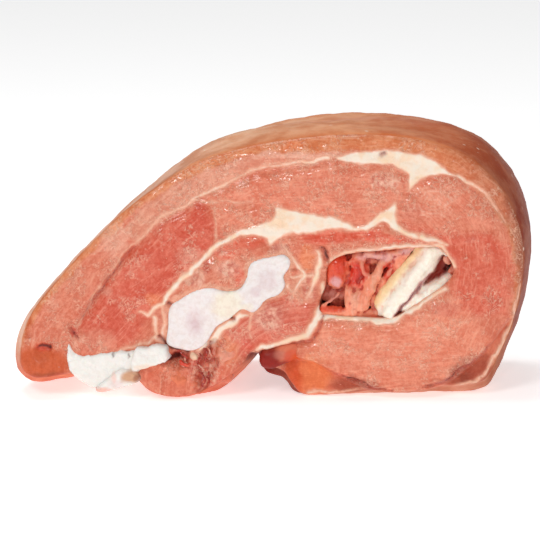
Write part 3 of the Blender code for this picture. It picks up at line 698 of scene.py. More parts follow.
TONES = {
    "rosy": ((0.650, 0.085, 0.038), "The big muscle at the left"),
    "salmon": ((0.740, 0.215, 0.122), "The upper muscles"),
    "clay": ((0.680, 0.110, 0.052), "The folded flank at the right"),
    "pale": ((0.800, 0.250, 0.145), "The folded flank's underside"),
    "warm": ((0.700, 0.140, 0.082), "The muscles under the rib cartilage"),
    "pink": ((0.710, 0.275, 0.175), "The thin flat muscle under the fascia"),
    "outer": ((0.690, 0.190, 0.105), "The outer muscle towards the tip"),
    "low_red": ((0.730, 0.180, 0.095), "The ragged breast edge"),
    "deep_red": ((0.54, 0.105, 0.070), "Dark red flesh"),
    "blood": ((0.470, 0.040, 0.025), "Blood red flesh"),
    "wet_flesh": ((0.740, 0.085, 0.035), "Wet red flesh under the fat"),
    "rust": ((0.60, 0.120, 0.075), "Small reddish spots"),
    "lobe_dark": ((0.62, 0.170, 0.110), "The turn between two muscles"),
    "band_brown": ((0.500, 0.130, 0.050), "The fascia's cut edge at the right"),
    "orange": ((0.800, 0.220, 0.075), "Orange stains"),
    "amber": ((0.690, 0.100, 0.020), "The orange end of the folded flank"),
    # Painted shade: the dark purple under the folded flank's end
    "purple": ((0.270, 0.022, 0.016), "The dark purple end of the fold"),
    "mauve": ((0.560, 0.190, 0.140), "Mauve tissue"),
    "mesh_pale": ((0.790, 0.400, 0.290), "Flesh with a pale mesh of fat"),
    "whitish": ((0.830, 0.480, 0.360), "Flesh with a whitish bloom"),
    "tan": ((0.560, 0.090, 0.018), "The breast's thin tip"),
    # Dark brown: painted shade under the tip and beside the flank's lower crease, and dark edges at the right
    # of the cut and on the bone
    "brown": ((0.260, 0.045, 0.015), "Dried dark edges"),
    # The skirt's tone is partly painted shade under the flank muscle's edge
    "skirt": ((0.390, 0.070, 0.032), "The fascia below the folded flank"),
    "peach": ((0.690, 0.215, 0.075), "The fascia's cut edge"),
    # The pale skin low on the left slope is partly a painted highlight
    "skin_pale": ((0.850, 0.490, 0.365), "Skin low on the slope at the left"),
    "skin_left": ((0.780, 0.430, 0.300), "Skin on the slope at the left"),
    "skin_mid": ((0.880, 0.500, 0.320), "Skin above the big muscle"),
    "skin_top": ((0.850, 0.370, 0.190), "Skin on top"),
    "skin_dark": ((0.620, 0.160, 0.060), "Skin at the upper right"),
    "skin_far": ((0.280, 0.026, 0.005), "Skin at the right"),
    "under": ((0.68, 0.330, 0.240), "The fascia on the underside"),
    # Painted shade at the bottom of a crease
    "crease_red": ((0.090, 0.012, 0.008), "The bottom of a crease"),
    "fat_white": ((0.840, 0.720, 0.600), "Seam fat"),
    "fat_cream": ((0.850, 0.610, 0.420), "Creamier fat"),
    "fat_yellow": ((0.900, 0.620, 0.290), "The yellow side of the fold"),
    "fold_white": ((0.950, 0.890, 0.770), "The white fold of fat"),
    "cartilage_white": ((0.815, 0.760, 0.745), "Rib cartilage"),
    "cartilage_mauve": ((0.600, 0.380, 0.420), "The mottled middle of the cartilage"),
    "cartilage_neck": ((0.860, 0.780, 0.620), "The neck between the lobes"),
    "bone_cream": ((0.830, 0.815, 0.770), "Breastbone"),
    "bone_tan": ((0.60, 0.300, 0.150), "The stained patch of the breastbone"),
    "bone_pink": ((0.85, 0.480, 0.400), "Pink edges of the bone"),
    "lilac": ((0.72, 0.400, 0.400), "Lilac membrane"),
    "wet_red": ((0.680, 0.035, 0.018), "Bright wet shreds"),
    "fold_pink": ((0.880, 0.290, 0.170), "The pink fold"),
    "fat_rim": ((0.800, 0.400, 0.270), "Flesh beside the fat"),
    # Painted shade deep in the hollow and its folds
    "cavity": ((0.240, 0.040, 0.028), "Deep in the hollow"),
}


def tone_property(name):
    colour, use = TONES[name]
    label = name.replace("_", " ").capitalize()
    return FloatVectorProperty(name=label, description=use, default=colour, subtype="COLOR", min=0, max=1)


class TendronTones(bpy.types.PropertyGroup):
    """The colours of the flesh, fat, skin, cartilage and bone."""

    __annotations__ = {name: tone_property(name) for name in TONES}


class TendronSizes(bpy.types.PropertyGroup):
    """How fine the surfaces are and how strong their relief is."""

    cut_step: FloatProperty(
        name="Cut step",
        description="Mesh size on the shown cut, in millimetres",
        default=0.95, min=0.5, max=4,
    )
    back_step: FloatProperty(
        name="Back step",
        description="Mesh size on the back cut, in millimetres",
        default=1.9, min=0.5, max=6,
    )
    side_step: FloatProperty(
        name="Side step",
        description="Mesh size along the skin, in millimetres",
        default=1.5, min=0.5, max=6,
    )
    insert_step: FloatProperty(
        name="Insert step",
        description="Mesh size on cartilage and bone, in millimetres",
        default=0.9, min=0.4, max=4,
    )
    fold_step: FloatProperty(
        name="Fold step",
        description="Mesh size on the folds, in millimetres",
        default=0.9, min=0.5, max=3,
    )
    flesh_relief: FloatProperty(
        name="Flesh relief",
        description="Height of the flesh's small bumps, in millimetres",
        default=0.35, min=0,
    )
    skin_relief: FloatProperty(
        name="Skin relief",
        description="Height of the skin's wrinkles, in millimetres",
        default=0.4, min=0,
    )


# Curves and measures on the cut


def smooth_closed(points, steps=12):
    """A closed Catmull-Rom curve through the points, as an array."""
    knots = np.array(points, float)
    before, after, beyond = np.roll(knots, 1, 0), np.roll(knots, -1, 0), np.roll(knots, -2, 0)
    rows = []
    for t in np.arange(steps) / steps:
        cubic = 3 * knots - before - 3 * after + beyond
        square = 2 * before - 5 * knots + 4 * after - beyond
        rows.append(0.5 * (2 * knots + (after - before) * t + square * t**2 + cubic * t**3))
    return np.stack(rows, 1).reshape(-1, 2)


def evenly(outline, step):
    """The same closed outline, with its points about a step apart."""
    loop = np.vstack([outline, outline[:1]])
    along = np.concatenate([[0], np.cumsum(np.linalg.norm(np.diff(loop, axis=0), axis=1))])
    at = np.linspace(0, along[-1], max(int(along[-1] / step), LEAST_OUTLINE_POINTS), endpoint=False)
    return np.stack([np.interp(at, along, loop[:, i]) for i in (0, 1)], 1)


def offset(outline, distance):
    """A clockwise closed outline, moved outwards."""
    along = np.roll(outline, -1, 0) - np.roll(outline, 1, 0)
    normals = np.stack([-along[:, 1], along[:, 0]], 1)
    normals /= np.linalg.norm(normals, axis=1, keepdims=True)
    return outline + normals * np.asarray(distance).reshape(-1, 1)


def stroke_depth(points, knots):
    """How far inside a stroke of changing half width each point lies."""
    found = np.full(len(points), -np.inf)
    for (x0, z0, w0), (x1, z1, w1) in zip(knots[:-1], knots[1:]):
        start, span = np.array((x0, z0)), np.array((x1 - x0, z1 - z0), float)
        t = np.clip((points - start) @ span / (span @ span), 0, 1)
        away = np.linalg.norm(points - start - t[:, None] * span, axis=1)
        found = np.maximum(found, w0 + (w1 - w0) * t - away)
    return found


def distance_to_line(points, line):
    return -stroke_depth(points, [(x, z, 0) for x, z in line])


def inside(points, outline):
    """Which points lie inside a closed outline."""
    found = np.zeros(len(points), bool)
    x, z = points[:, 0], points[:, 1]
    for (x0, z0), (x1, z1) in zip(outline, np.roll(outline, -1, 0)):
        if z0 != z1:
            found ^= ((z0 > z) != (z1 > z)) & (x < (x1 - x0) * (z - z0) / (z1 - z0) + x0)
    return found


def outline_depth(points, outline):
    """How far inside a closed outline each point lies: negative outside."""
    away = distance_to_line(points, np.vstack([outline, outline[:1]]))
    return np.where(inside(points, outline), away, -away)


def curve_depth(points, knots):
    """How far inside the smooth closed curve through the knots each point lies."""
    return outline_depth(points, smooth_closed(knots, MEASURED_STEPS))


def ease(value, low, high):
    """Rises smoothly from 0 at low to 1 at high."""
    t = np.clip((value - low) / (high - low), 0, 1)
    return t * t * (3 - 2 * t)


def below(line, points):
    """How far a point lies below a line that runs left to right."""
    knots = np.array(line, float)
    return np.interp(points[:, 0], knots[:, 0], knots[:, 1]) - points[:, 1]


def ripple(points, size, seed=0.0, octaves=3):
    """Smooth noise between about -1 and 1, for rows of any width up to three."""
    rows = np.zeros((len(points), 3))
    rows[:, : points.shape[1]] = points / np.asarray(size, float)
    rows += seed
    return np.array([noise.fractal(Vector(row), 1.0, 2.0, octaves) for row in rows])


def waver(points, reach, size, seed, octaves=3):
    """Noise of a given reach."""
    return reach * ripple(points, size, seed, octaves)


def bumps(points, rows):
    return sum(waver(points, *row) for row in rows)


def warped(points):
    """The same points, drifted a little, so that what is drawn through them turns out uneven."""
    moved = points.copy()
    for size, reach, seed in DRIFTS:
        moved[:, 0] += waver(points, reach, size, seed, DRIFT_OCTAVES)
        moved[:, 1] += waver(points, reach, size, seed + DRIFT_SEED_GAP, DRIFT_OCTAVES)
    return moved


# From the drawing to the model's place


def placed(points):
    """Rows of x, depth and z in millimetres as places in metres: thinner at the left, slanting right."""
    x, depth, z = np.asarray(points, float).T
    share = np.clip(x / (FULL_DEPTH_FROM * DRAWN_LENGTH), 0, 1)
    depth = depth * (LEFT_DEPTH_SHARE + (1 - LEFT_DEPTH_SHARE) * share * (2 - share))
    x = x * CUT_LENGTH / DRAWN_LENGTH + depth * BACK_SLANT - CENTRE_X
    return np.stack([x, depth - CENTRE_Y, z * CUT_HEIGHT / DRAWN_HEIGHT], 1) * MM


def drawn(points):
    """The way back: places in metres as rows of x, depth and z."""
    x, y, z = (np.asarray(points, float) / MM).T
    depth = y + CENTRE_Y
    x = (x + CENTRE_X - depth * BACK_SLANT) * DRAWN_LENGTH / CUT_LENGTH
    share = np.clip(x / (FULL_DEPTH_FROM * DRAWN_LENGTH), 0, 1)
    depth = depth / (LEFT_DEPTH_SHARE + (1 - LEFT_DEPTH_SHARE) * share * (2 - share))
    return np.stack([x, depth, z * DRAWN_HEIGHT / CUT_HEIGHT], 1)


class Shell:
    """Collects rings and caps in the drawing, then makes one closed mesh of them."""

    def __init__(self):
        self.points = []
        self.faces = []

    def add(self, outline, depth):
        """Adds points at a depth, and returns their numbers."""
        first = len(self.points)
        depths = np.broadcast_to(depth, len(outline))
        self.points += [(x, y, z) for (x, z), y in zip(outline, depths)]
        return list(range(first, len(self.points)))

    def wall(self, near, far):
        for i in range(len(near)):
            j = (i + 1) % len(near)
            self.faces.append((near[i], near[j], far[j], far[i]))

    def cap(self, rings, outlines, step, depth_at):
        """Fills between the first outline and any holes in it with a fine grid."""
        low, high = outlines[0].min(0), outlines[0].max(0)
        rows = []
        for row, z in enumerate(np.arange(low[1], high[1], step * GRID_ROW_SHARE)):
            columns = np.arange(low[0] + 0.5 * step * (row % 2), high[0], step)
            rows.append(np.stack([columns, np.full_like(columns, z)], 1))
        grid = np.vstack(rows)
        kept = inside(grid, outlines[0])
        for outline in outlines[1:]:
            kept &= ~inside(grid, outline)
        grid = grid[kept]
        for outline in outlines:
            loop = np.vstack([outline, outline[:1]])
            grid = grid[distance_to_line(grid, loop) > GRID_MARGIN_SHARE * step]
        numbers = [number for ring in rings for number in ring] + self.add(grid, depth_at(grid))
        plan = np.vstack(list(outlines) + [grid])
        edges = []
        first = 0
        for outline in outlines:
            edges += [(first + i, first + (i + 1) % len(outline)) for i in range(len(outline))]
            first += len(outline)
        corners, _, triangles, _, _, _ = delaunay_2d_cdt([Vector(p) for p in plan], edges, [], 1, SAME_POINT)
        if len(corners) != len(plan):
            raise RuntimeError("a cap's outline crosses itself, or its grid is too near")
        middles = plan[np.array(triangles)].mean(1)
        hidden = np.zeros(len(middles), bool)
        for outline in outlines[1:]:
            hidden |= inside(middles, outline)
        self.faces += [tuple(numbers[i] for i in t) for t, hide in zip(triangles, hidden) if not hide]

    def mesh(self, name):
        made = bpy.data.meshes.new(name)
        made.from_pydata(placed(self.points), [], self.faces)
        bm = bmesh.new()
        bm.from_mesh(made)
        bmesh.ops.recalc_face_normals(bm, faces=bm.faces)
        bm.to_mesh(made)
        bm.free()
        made.shade_smooth()
        return made


def linked(name, mesh, *materials):
    obj = bpy.data.objects.new(name, mesh)
    bpy.context.scene.collection.objects.link(obj)
    for material in materials:
        mesh.materials.append(material)
    return obj


def store(mesh, name, values):
    """Keeps one value, a direction or a colour for each vertex."""
    values = np.asarray(values, np.float32)
    if values.ndim == 1:
        mesh.attributes.new(name, "FLOAT", "POINT").data.foreach_set("value", values)
    elif name == "paint":
        full = np.ones((len(values), 4), np.float32)
        full[:, :3] = values
        mesh.attributes.new(name, "FLOAT_COLOR", "POINT").data.foreach_set("color", full.ravel())
    else:
        mesh.attributes.new(name, "FLOAT_VECTOR", "POINT").data.foreach_set("vector", values.ravel())


def vertices(mesh):
    rows = np.empty(len(mesh.vertices) * 3, np.float32)
    mesh.vertices.foreach_get("co", rows)
    return rows.reshape(-1, 3).astype(float)


def normals(mesh):
    rows = np.empty(len(mesh.vertices) * 3, np.float32)
    mesh.vertex_normals.foreach_get("vector", rows)
    return rows.reshape(-1, 3).astype(float)


def push(mesh, heights):
    """Moves each vertex along its normal by a height in millimetres."""
    moved = vertices(mesh) + normals(mesh) * np.asarray(heights)[:, None] * MM
    mesh.vertices.foreach_set("co", moved.astype(np.float32).ravel())
    mesh.update()


def from_cut(depth, back_inset=0.0):
    """How far a depth lies from the nearer cut, with the back one taken further in by an inset."""
    return np.minimum(depth, SLAB_DEPTH - back_inset - depth)


# Colours of the cut


def tone(name):
    return np.array(getattr(bpy.context.scene.tendron_tones, name))


def blend(colours, name, share):
    share = np.reshape(np.clip(share, 0, 1), (-1, 1))
    return colours * (1 - share) + tone(name) * share


def patched(colours, points, patches):
    """Paints soft round patches: tone, x, z, half width, half height, strength."""
    wobble = waver(points, *PATCH_WAVER)
    for name, x, z, wide, high, strength in patches:
        away = np.hypot((points[:, 0] - x) / wide, (points[:, 1] - z) / high) + wobble
        colours = blend(colours, name, strength * (1 - ease(away, *PATCH_EDGE)))
    return colours


def flesh_paint(points):
    """The colour of the cut at each point: broad fields first, then the skin's edge, patches and marks."""
    points = warped(points)
    x, z = points[:, 0], points[:, 1]
    colours = np.tile(tone("outer"), (len(points), 1))
    for name, softness, outline in TONE_FIELDS:
        depth = outline_depth(points, np.array(outline, float)) + waver(points, *FIELD_WAVER)
        colours = blend(colours, name, ease(depth, -softness / 2, softness / 2))
    band = stroke_depth(points, SKIN_BAND) + waver(points, *BAND_WAVER)
    colours = blend(colours, "peach", ease(band, *BAND_EDGE))
    colours = blend(colours, "band_brown", BAND_BROWN_SHARE * ease(band, *BAND_CORE) * ease(x, *BAND_BROWN_X))
    colours = patched(colours, points, PATCHES)
    for middle_x, middle_z, wide, high in HATCHES:
        share = 1 - ease(np.hypot((x - middle_x) / wide, (z - middle_z) / high), *HATCH_EDGE)
        lines = waver(points, *HATCH_LINES)
        colours = blend(colours, "deep_red", HATCH_DARK_SHARE * share * ease(-lines, *HATCH_LINE_EDGE))
        colours = blend(colours, "whitish", HATCH_PALE_SHARE * share * ease(lines, *HATCH_LINE_EDGE))
    for middle_x, middle_z, reach in SWIRLS:
        away = np.hypot(x - middle_x, SWIRL_FLATTENING * (z - middle_z))
        arcs = ease(np.sin(SWIRL_PACE * away + waver(points, *SWIRL_WAVER)), *SWIRL_LINE_EDGE)
        colours = blend(colours, "whitish", SWIRL_SHARE * arcs * (1 - ease(away, SWIRL_CORE * reach, reach)))
    rim = -curve_depth(points, RIB_CARTILAGE)
    colours = blend(colours, "fat_rim", CARTILAGE_RIM_SHARE * (1 - ease(rim, *CARTILAGE_RIM)))
    torn = ease(stroke_depth(points, TROUGH), *TORN_PAINT_EDGE)
    shred = waver(points, *TORN_SHREDS)
    colours = blend(colours, "blood", TORN_DARK_SHARE * torn * ease(-shred, *TORN_DARK_EDGE))
    colours = blend(colours, "mesh_pale", TORN_PALE_SHARE * torn * ease(shred, *TORN_PALE_EDGE))
    edge = curve_depth(points, SECTION)
    low = (1 - ease(edge, *LOW_EDGE)) * (1 - ease(z, *LOW_EDGE_Z)) * (1 - ease(x, *LOW_EDGE_X))
    return blend(colours, "rust", LOW_EDGE_SHARE * low)


def calmness(points):
    """Where smooth fascia takes the place of cut fibres: the skirt, the tip and the turned edge."""
    skirt = ease(below(FLANK_EDGE, points), *CALM_EDGE) * ease(points[:, 0], *CALM_X)
    x, z, wide, high = CALM_TIP
    tip = 1 - ease(np.hypot((points[:, 0] - x) / wide, (points[:, 1] - z) / high), *CALM_TIP_EDGE)
    return np.maximum(skirt, tip)


def fat_depth(points):
    """How far inside seam fat each point of the cut lies."""
    points = warped(points)
    found = np.maximum(curve_depth(points, UPPER_SEAM), curve_depth(points, MIDDLE_SEAM))
    for knots in FAT_STROKES:
        found = np.maximum(found, stroke_depth(points, knots))
    return found


def crease_depth(points):
    """How far inside a dark crease each point of the cut lies."""
    points = warped(points)
    found = np.full(len(points), -np.inf)
    for knots in CREASE_STROKES:
        found = np.maximum(found, stroke_depth(points, knots))
    return found


def grain_flow(points):
    """Along and across the fibres, which follow the outer skin round the fold."""
    line = np.array([(x, z) for x, z, _ in SKIN_BAND] + UNDERSIDE_LINE, float)
    best = np.full(len(points), np.inf)
    along = np.zeros(len(points))
    start_at = 0.0
    for start, end in zip(line[:-1], line[1:]):
        span = end - start
        length = np.linalg.norm(span)
        t = np.clip((points - start) @ span / length**2, 0, 1)
        away = np.linalg.norm(points - start - t[:, None] * span, axis=1)
        nearer = away < best
        along[nearer] = start_at + t[nearer] * length
        best = np.minimum(best, away)
        start_at += length
    return np.stack([along, best, np.zeros(len(points))], 1)


# The cut's relief


def broad_relief(points):
    """How far the cut stands back from its plane: seam grooves, swollen muscles, the set-back skirt."""
    x, z = points[:, 0], points[:, 1]
    back = np.zeros(len(points))
    for line in (OUTER_FASCIA, LOBE_CONTACT, FLANK_LINE):
        back += GROOVE_DEPTH * np.exp(-((distance_to_line(points, line) / GROOVE_WIDTH) ** 2))
    for lump_x, lump_z, radius, setback in LUMPS:
        back += setback * (1 - ease(np.hypot(x - lump_x, z - lump_z), 0, radius))
    swell = np.sin(x / SWELL_ACROSS) * np.sin(z / SWELL_UP + SWELL_START)
    back += 0.5 * MUSCLE_SWELL * (1 - swell)
    back += SKIRT_SETBACK * ease(below(FLANK_EDGE, points), *SKIRT_SLOPE) * ease(x, *FLANK_FADE)
    lobe_end = ease(below([ARCH_FOOT] + LOBE_CONTACT, points), *LOBE_END_SLOPE)
    return back + LOBE_END_SETBACK * lobe_end * (1 - ease(x, *LOBE_END_FADE))


def open_relief(points):
    """The broad relief with the hollow's rounded lips, raised fat, creases and the flesh's unevenness."""
    sizes = bpy.context.scene.tendron_sizes
    back = broad_relief(points)
    lip = -curve_depth(points, HOLLOW)
    back += LIP_DEPTH * (1 - np.sqrt(np.clip(lip / LIP_REACH, 0, 1)))
    fat = fat_depth(points)
    back -= FAT_RAISED * ease(fat, *FAT_SLOPE)
    back += CREASE_SINK * ease(crease_depth(points), *CREASE_SLOPE)
    back += FAT_DIP * np.exp(-((np.maximum(-fat, 0) / FAT_DIP_REACH) ** 2))
    back += sizes.flesh_relief * bumps(points, [BROAD_UNEVEN, SMALL_UNEVEN])
    return back + sizes.flesh_relief * waver(grain_flow(points)[:, :2], *FIBRE_UNEVEN)


def cut_relief(points):
    """The cut's relief, sunk out of sight behind cartilage and bone."""
    back = open_relief(points)
    edge = curve_depth(points, SECTION)
    upper = ease(points[:, 1], *TOP_Z) * ease(points[:, 0], *TOP_X)
    back += TOP_ROUNDING * upper * (1 - np.sqrt(np.clip(edge / TOP_ROUNDING_REACH, 0, 1)))
    trough = stroke_depth(points, TROUGH)
    back += TROUGH_DEPTH * ease(trough, *TROUGH_SLOPE)
    back += ease(trough, *TORN_EDGE) * bumps(points, [TORN_COARSE, TORN_FINE])
    return back + FRONT_SINK * behind_inserts(points)


def behind_inserts(points):
    """Where cartilage or bone shows instead of flesh."""
    found = np.zeros(len(points))
    for outline in (RIB_CARTILAGE, BREASTBONE):
        found = np.maximum(found, ease(curve_depth(points, outline), *INSERT_EDGE))
    return found


def back_setback(points):
    """How far the back cut stands in from its plane."""
    return BACK_RELIEF_SHARE * cut_relief(points) + BACK_SINK * behind_inserts(points)


def body_ring(outline, depth):
    """The whole section at one depth: rounded at both cuts, fuller and settled on the board in between."""
    share = depth / SLAB_DEPTH
    inwards = min(from_cut(depth) / (2 * EDGE_ROUNDING), 1)
    rounding = EDGE_ROUNDING * (1 - math.sqrt(1 - (1 - inwards) ** 2))
    ring = offset(outline, MID_BULGE * math.sin(math.pi * share) - rounding)
    centre = np.array(SECTION_MIDDLE) * (DRAWN_LENGTH, DRAWN_HEIGHT)
    ring = centre + (ring - centre) * (1 - (1 - BACK_TAPER) * ease(share, TAPER_FROM, 1))
    x, z = ring[:, 0], ring[:, 1]
    settled = BOARD_SETTLE * ease(depth, *SETTLE_DEPTHS) * (1 - ease(z, *SETTLE_Z))
    drifted = TIP_DRIFT * ease(depth, *DRIFT_DEPTHS) * (1 - ease(x, *DRIFT_X)) * (1 - ease(z, *DRIFT_Z))
    swayed = SIDE_WAVE * math.sin(depth / SIDE_WAVE_PACE) * ease(z, *SIDE_WAVE_Z)
    waved = TOP_WAVE * np.sin(depth / TOP_WAVE_PACE + x / TOP_WAVE_LENGTH) * ease(z, *TOP_WAVE_Z)
    return np.stack([x - drifted + swayed, np.maximum(z - settled + waved, 0)], 1)


def skin_paint(points, outline_x, outline_z):
    """The skin's tone, by the place on the outline that a point came from."""
    # Tones along the outline, the pale left slope partly a painted highlight
    at = [x for x, _ in SKIN_TONES]
    rows = np.array([tone(name) for _, name in SKIN_TONES])
    colours = np.stack([np.interp(outline_x, at, rows[:, i]) for i in range(3)], 1)
    blotches = waver(points, *SKIN_BLOTCHES)
    colours *= (1 + SKIN_BLOTCH_LIGHT * blotches)[:, None]
    peach = 1 - ease(points[:, 1] + PEACH_WAVER * blotches, *PEACH_DEPTHS)
    colours = blend(colours, "peach", PEACH_SHARE * peach * (1 - ease(outline_x, *PEACH_X)))
    from_streak = (points[:, 1] + STREAK_WAVER * blotches - STREAK_DEPTH) / STREAK_WIDTH
    streak = np.exp(-(from_streak**2)) * (1 - ease(outline_x, *STREAK_X))
    colours = blend(colours, "pink", STREAK_SHARE * streak)
    underside = (1 - ease(outline_z, *UNDERSIDE_Z)) * ease(outline_x, *UNDERSIDE_X)
    colours = blend(colours, "under", underside)
    ragged = (1 - ease(outline_z, *RAGGED_Z)) * (1 - ease(outline_x, *RAGGED_X))
    colours = blend(colours, "low_red", ragged)
    # Painted shade: the skin under the folded flank's end turns purple
    lobe_end = ease(outline_x, *LOBE_END_FROM_X) * (1 - ease(outline_x, *LOBE_END_TO_X))
    return blend(colours, "purple", (1 - ease(outline_z, *LOBE_END_Z)) * lobe_end)


def flesh_shell(outline, hollow):
    """The slab's closed skin, with the numbers of the points round it and its hollow at each station."""
    sizes = bpy.context.scene.tendron_sizes
    shell = Shell()
    rings, tunnels = [], []
    for depth in STATIONS:
        near_front = 1 - ease(depth, *FLESH_FADE)
        near_back = 1 - ease(SLAB_DEPTH - depth, *BACK_FADE)
        for source, kept in ((body_ring(outline, depth), rings), (hollow, tunnels)):
            moved = cut_relief(source) * near_front - back_setback(source) * near_back
            kept.append(shell.add(source, depth + moved))
    for row in (rings, tunnels):
        for near, far in zip(row[:-1], row[1:]):
            shell.wall(near, far)
    front, back = body_ring(outline, 0), body_ring(outline, SLAB_DEPTH)
    shell.cap([rings[0], tunnels[0]], [front, hollow], sizes.cut_step, cut_relief)
    shell.cap(
        [rings[-1], tunnels[-1]],
        [back, hollow],
        sizes.back_step,
        lambda p: SLAB_DEPTH - back_setback(p),
    )
    return shell, rings, tunnels


def wall_paint(colours, hollow, depth):
    """The tones of the hollow's wall at one depth: pink at its lip, wet at its foot, and painted shade
    within.
    """
    rim = from_cut(depth)
    colours = blend(colours, "fold_pink", WALL_PINK_SHARE * ease(rim, *WALL_PINK_DEPTHS))
    foot = 1 - ease(hollow[:, 1], *WALL_WET_Z)
    colours = blend(colours, "wet_red", WALL_WET_SHARE * ease(rim, *WALL_WET_DEPTHS) * foot)
    return blend(colours, "cavity", WALL_SHADE_SHARE * ease(rim, *WALL_SHADE_DEPTHS))


def finish_skin_faces(mesh, skin):
    """Gives the second material to faces whose corners are mostly skin."""
    corners = np.empty(len(mesh.loops), np.int32)
    mesh.loops.foreach_get("vertex_index", corners)
    starts = np.empty(len(mesh.polygons), np.int32)
    mesh.polygons.foreach_get("loop_start", starts)
    share = np.add.reduceat(skin[corners], starts) / np.diff(np.append(starts, len(corners)))
    mesh.polygons.foreach_set("material_index", (share > 0.5).astype(np.int32))


def make_flesh():
    """All the muscle with its seam fat, cut at both ends, with the hollow running through it."""
    sizes = bpy.context.scene.tendron_sizes
    outline = evenly(smooth_closed(SECTION), sizes.side_step)
    hollow = evenly(smooth_closed(HOLLOW), sizes.side_step)
    shell, rings, tunnels = flesh_shell(outline, hollow)
    points = np.array(shell.points)
    mesh = shell.mesh("meat_surface")
    on_cut = points[:, [0, 2]]
    colours = flesh_paint(on_cut)
    fat, crease = fat_depth(on_cut), crease_depth(on_cut)
    skin = np.zeros(len(points))
    for numbers, depth in zip(rings, STATIONS):
        share = ease(from_cut(depth), *SKIN_TONE_DEPTHS)
        painted = skin_paint(points[numbers], outline[:, 0], outline[:, 1])
        colours[numbers] = colours[numbers] * (1 - share) + painted * share
        skin[numbers] = ease(from_cut(depth), *SKIN_FINISH_DEPTHS)
    for numbers, depth in zip(tunnels, STATIONS):
        colours[numbers] = wall_paint(colours[numbers], hollow, depth)
        if from_cut(depth) > WALL_FAT_DEPTH:
            fat[numbers] = NONE_NEAR
    for found in (fat, crease):
        found[skin > 0.5] = NONE_NEAR
    store(mesh, "paint", colours)
    store(mesh, "fat", fat)
    store(mesh, "calm", calmness(on_cut))
    store(mesh, "crease", crease)
    finish_skin_faces(mesh, skin)
    store(mesh, "grain", grain_flow(on_cut))
    push(mesh, bumps(points, SKIN_WRINKLES) * skin * sizes.skin_relief)
    low = vertices(mesh)
    low[:, 2] = np.maximum(low[:, 2], 0)
    mesh.vertices.foreach_set("co", low.astype(np.float32).ravel())
    return mesh


def make_insert(name, outline_points, front, back, height, reach, relief, ragged=0.0):
    """A rounded prism between the two cuts, with fine domed ends, and its points in the drawing."""
    sizes = bpy.context.scene.tendron_sizes
    outline = evenly(smooth_closed(outline_points), sizes.insert_step)
    outline = offset(outline, ragged * bumps(outline, INSERT_RAGGED))

    def dome(points, outline):
        rim = np.clip(outline_depth(points, outline) / reach, 0, 1)
        return height * (1 - np.sqrt(1 - (1 - rim) ** 2))

    shell = Shell()
    first_step, second_step = INSERT_RIM_STEPS
    start, end = front + height, back - height
    depths = [start, start + first_step]
    depths += list(np.linspace(start + second_step, end - second_step, INSERT_RINGS))
    depths += [end - first_step, end]
    rim_inset = INSERT_RIM_SHARE * height
    insets = [rim_inset] + [0.0] * (len(depths) - 2) + [rim_inset]
    rings = []
    outlines = []
    for depth, inset in zip(depths, insets):
        outlines.append(offset(outline, -inset))
        near_front = 1 - ease(depth, *INSERT_FADE)
        near_back = 1 - ease(SLAB_DEPTH - depth, *BACK_FADE)
        rows = relief(outlines[-1])
        moved = rows * near_front - BACK_RELIEF_SHARE * rows * near_back
        rings.append(shell.add(outlines[-1], depth + moved))
    for near, far in zip(rings[:-1], rings[1:]):
        shell.wall(near, far)
    first, last = outlines[0], outlines[-1]

    def front_end(points):
        return front + dome(points, first) + relief(points)

    def back_end(points):
        return back - dome(points, last) - BACK_RELIEF_SHARE * relief(points)

    shell.cap([rings[0]], [first], sizes.insert_step, front_end)
    shell.cap([rings[-1]], [last], 2 * sizes.insert_step, back_end)
    return shell.mesh(name), np.array(shell.points)


# Shader nodes


def feed(tree, socket, value):
    """Links a socket, or sets a value."""
    if isinstance(value, bpy.types.NodeSocket):
        tree.links.new(value, socket)
    elif value is not None:
        socket.default_value = value


def put(tree, kind, *values, **settings):
    """Adds a shader node, sets it and fills its inputs in order."""
    made = tree.nodes.new("ShaderNode" + kind)
    for key, value in settings.items():
        setattr(made, key, value)
    for socket, value in zip(made.inputs, values):
        feed(tree, socket, value)
    return made


def calc(tree, operation, *values):
    return put(tree, "Math", *values, operation=operation).outputs[0]


def mixed(tree, share, first, second, kind="MIX"):
    made = put(tree, "Mix", data_type="RGBA", blend_type=kind)
    for socket, value in zip((made.inputs[0], made.inputs[6], made.inputs[7]), (share, first, second)):
        feed(tree, socket, value)
    return made.outputs[2]


def ramped(tree, value, low, high, to_low=0.0, to_high=1.0):
    made = put(tree, "MapRange", value, low, high, to_low, to_high, interpolation_type="SMOOTHSTEP")
    return made.outputs[0]


def cloud(tree, vector, scale, detail=3.0, roughness=0.55, distortion=0.0):
    made = put(tree, "TexNoise")
    for key, value in (
        ("Vector", vector),
        ("Scale", scale),
        ("Detail", detail),
        ("Roughness", roughness),
        ("Distortion", distortion),
    ):
        feed(tree, made.inputs[key], value)
    return made.outputs["Fac"]


def read(tree, name, output):
    return put(tree, "Attribute", attribute_name=name).outputs[output]


def rgba(name):
    return (*[float(part) for part in tone(name)], 1.0)


def effect(name, inputs, outputs):
    """A new shader node group with named sockets, with the sockets that it is given and that it puts out."""
    tree = bpy.data.node_groups.new(name, "ShaderNodeTree")
    for label, kind, default in inputs:
        socket = tree.interface.new_socket(label, in_out="INPUT", socket_type="NodeSocket" + kind)
        if default is not None:
            socket.default_value = default
    for label, kind in outputs:
        tree.interface.new_socket(label, in_out="OUTPUT", socket_type="NodeSocket" + kind)
    return tree, tree.nodes.new("NodeGroupInput").outputs, tree.nodes.new("NodeGroupOutput").inputs


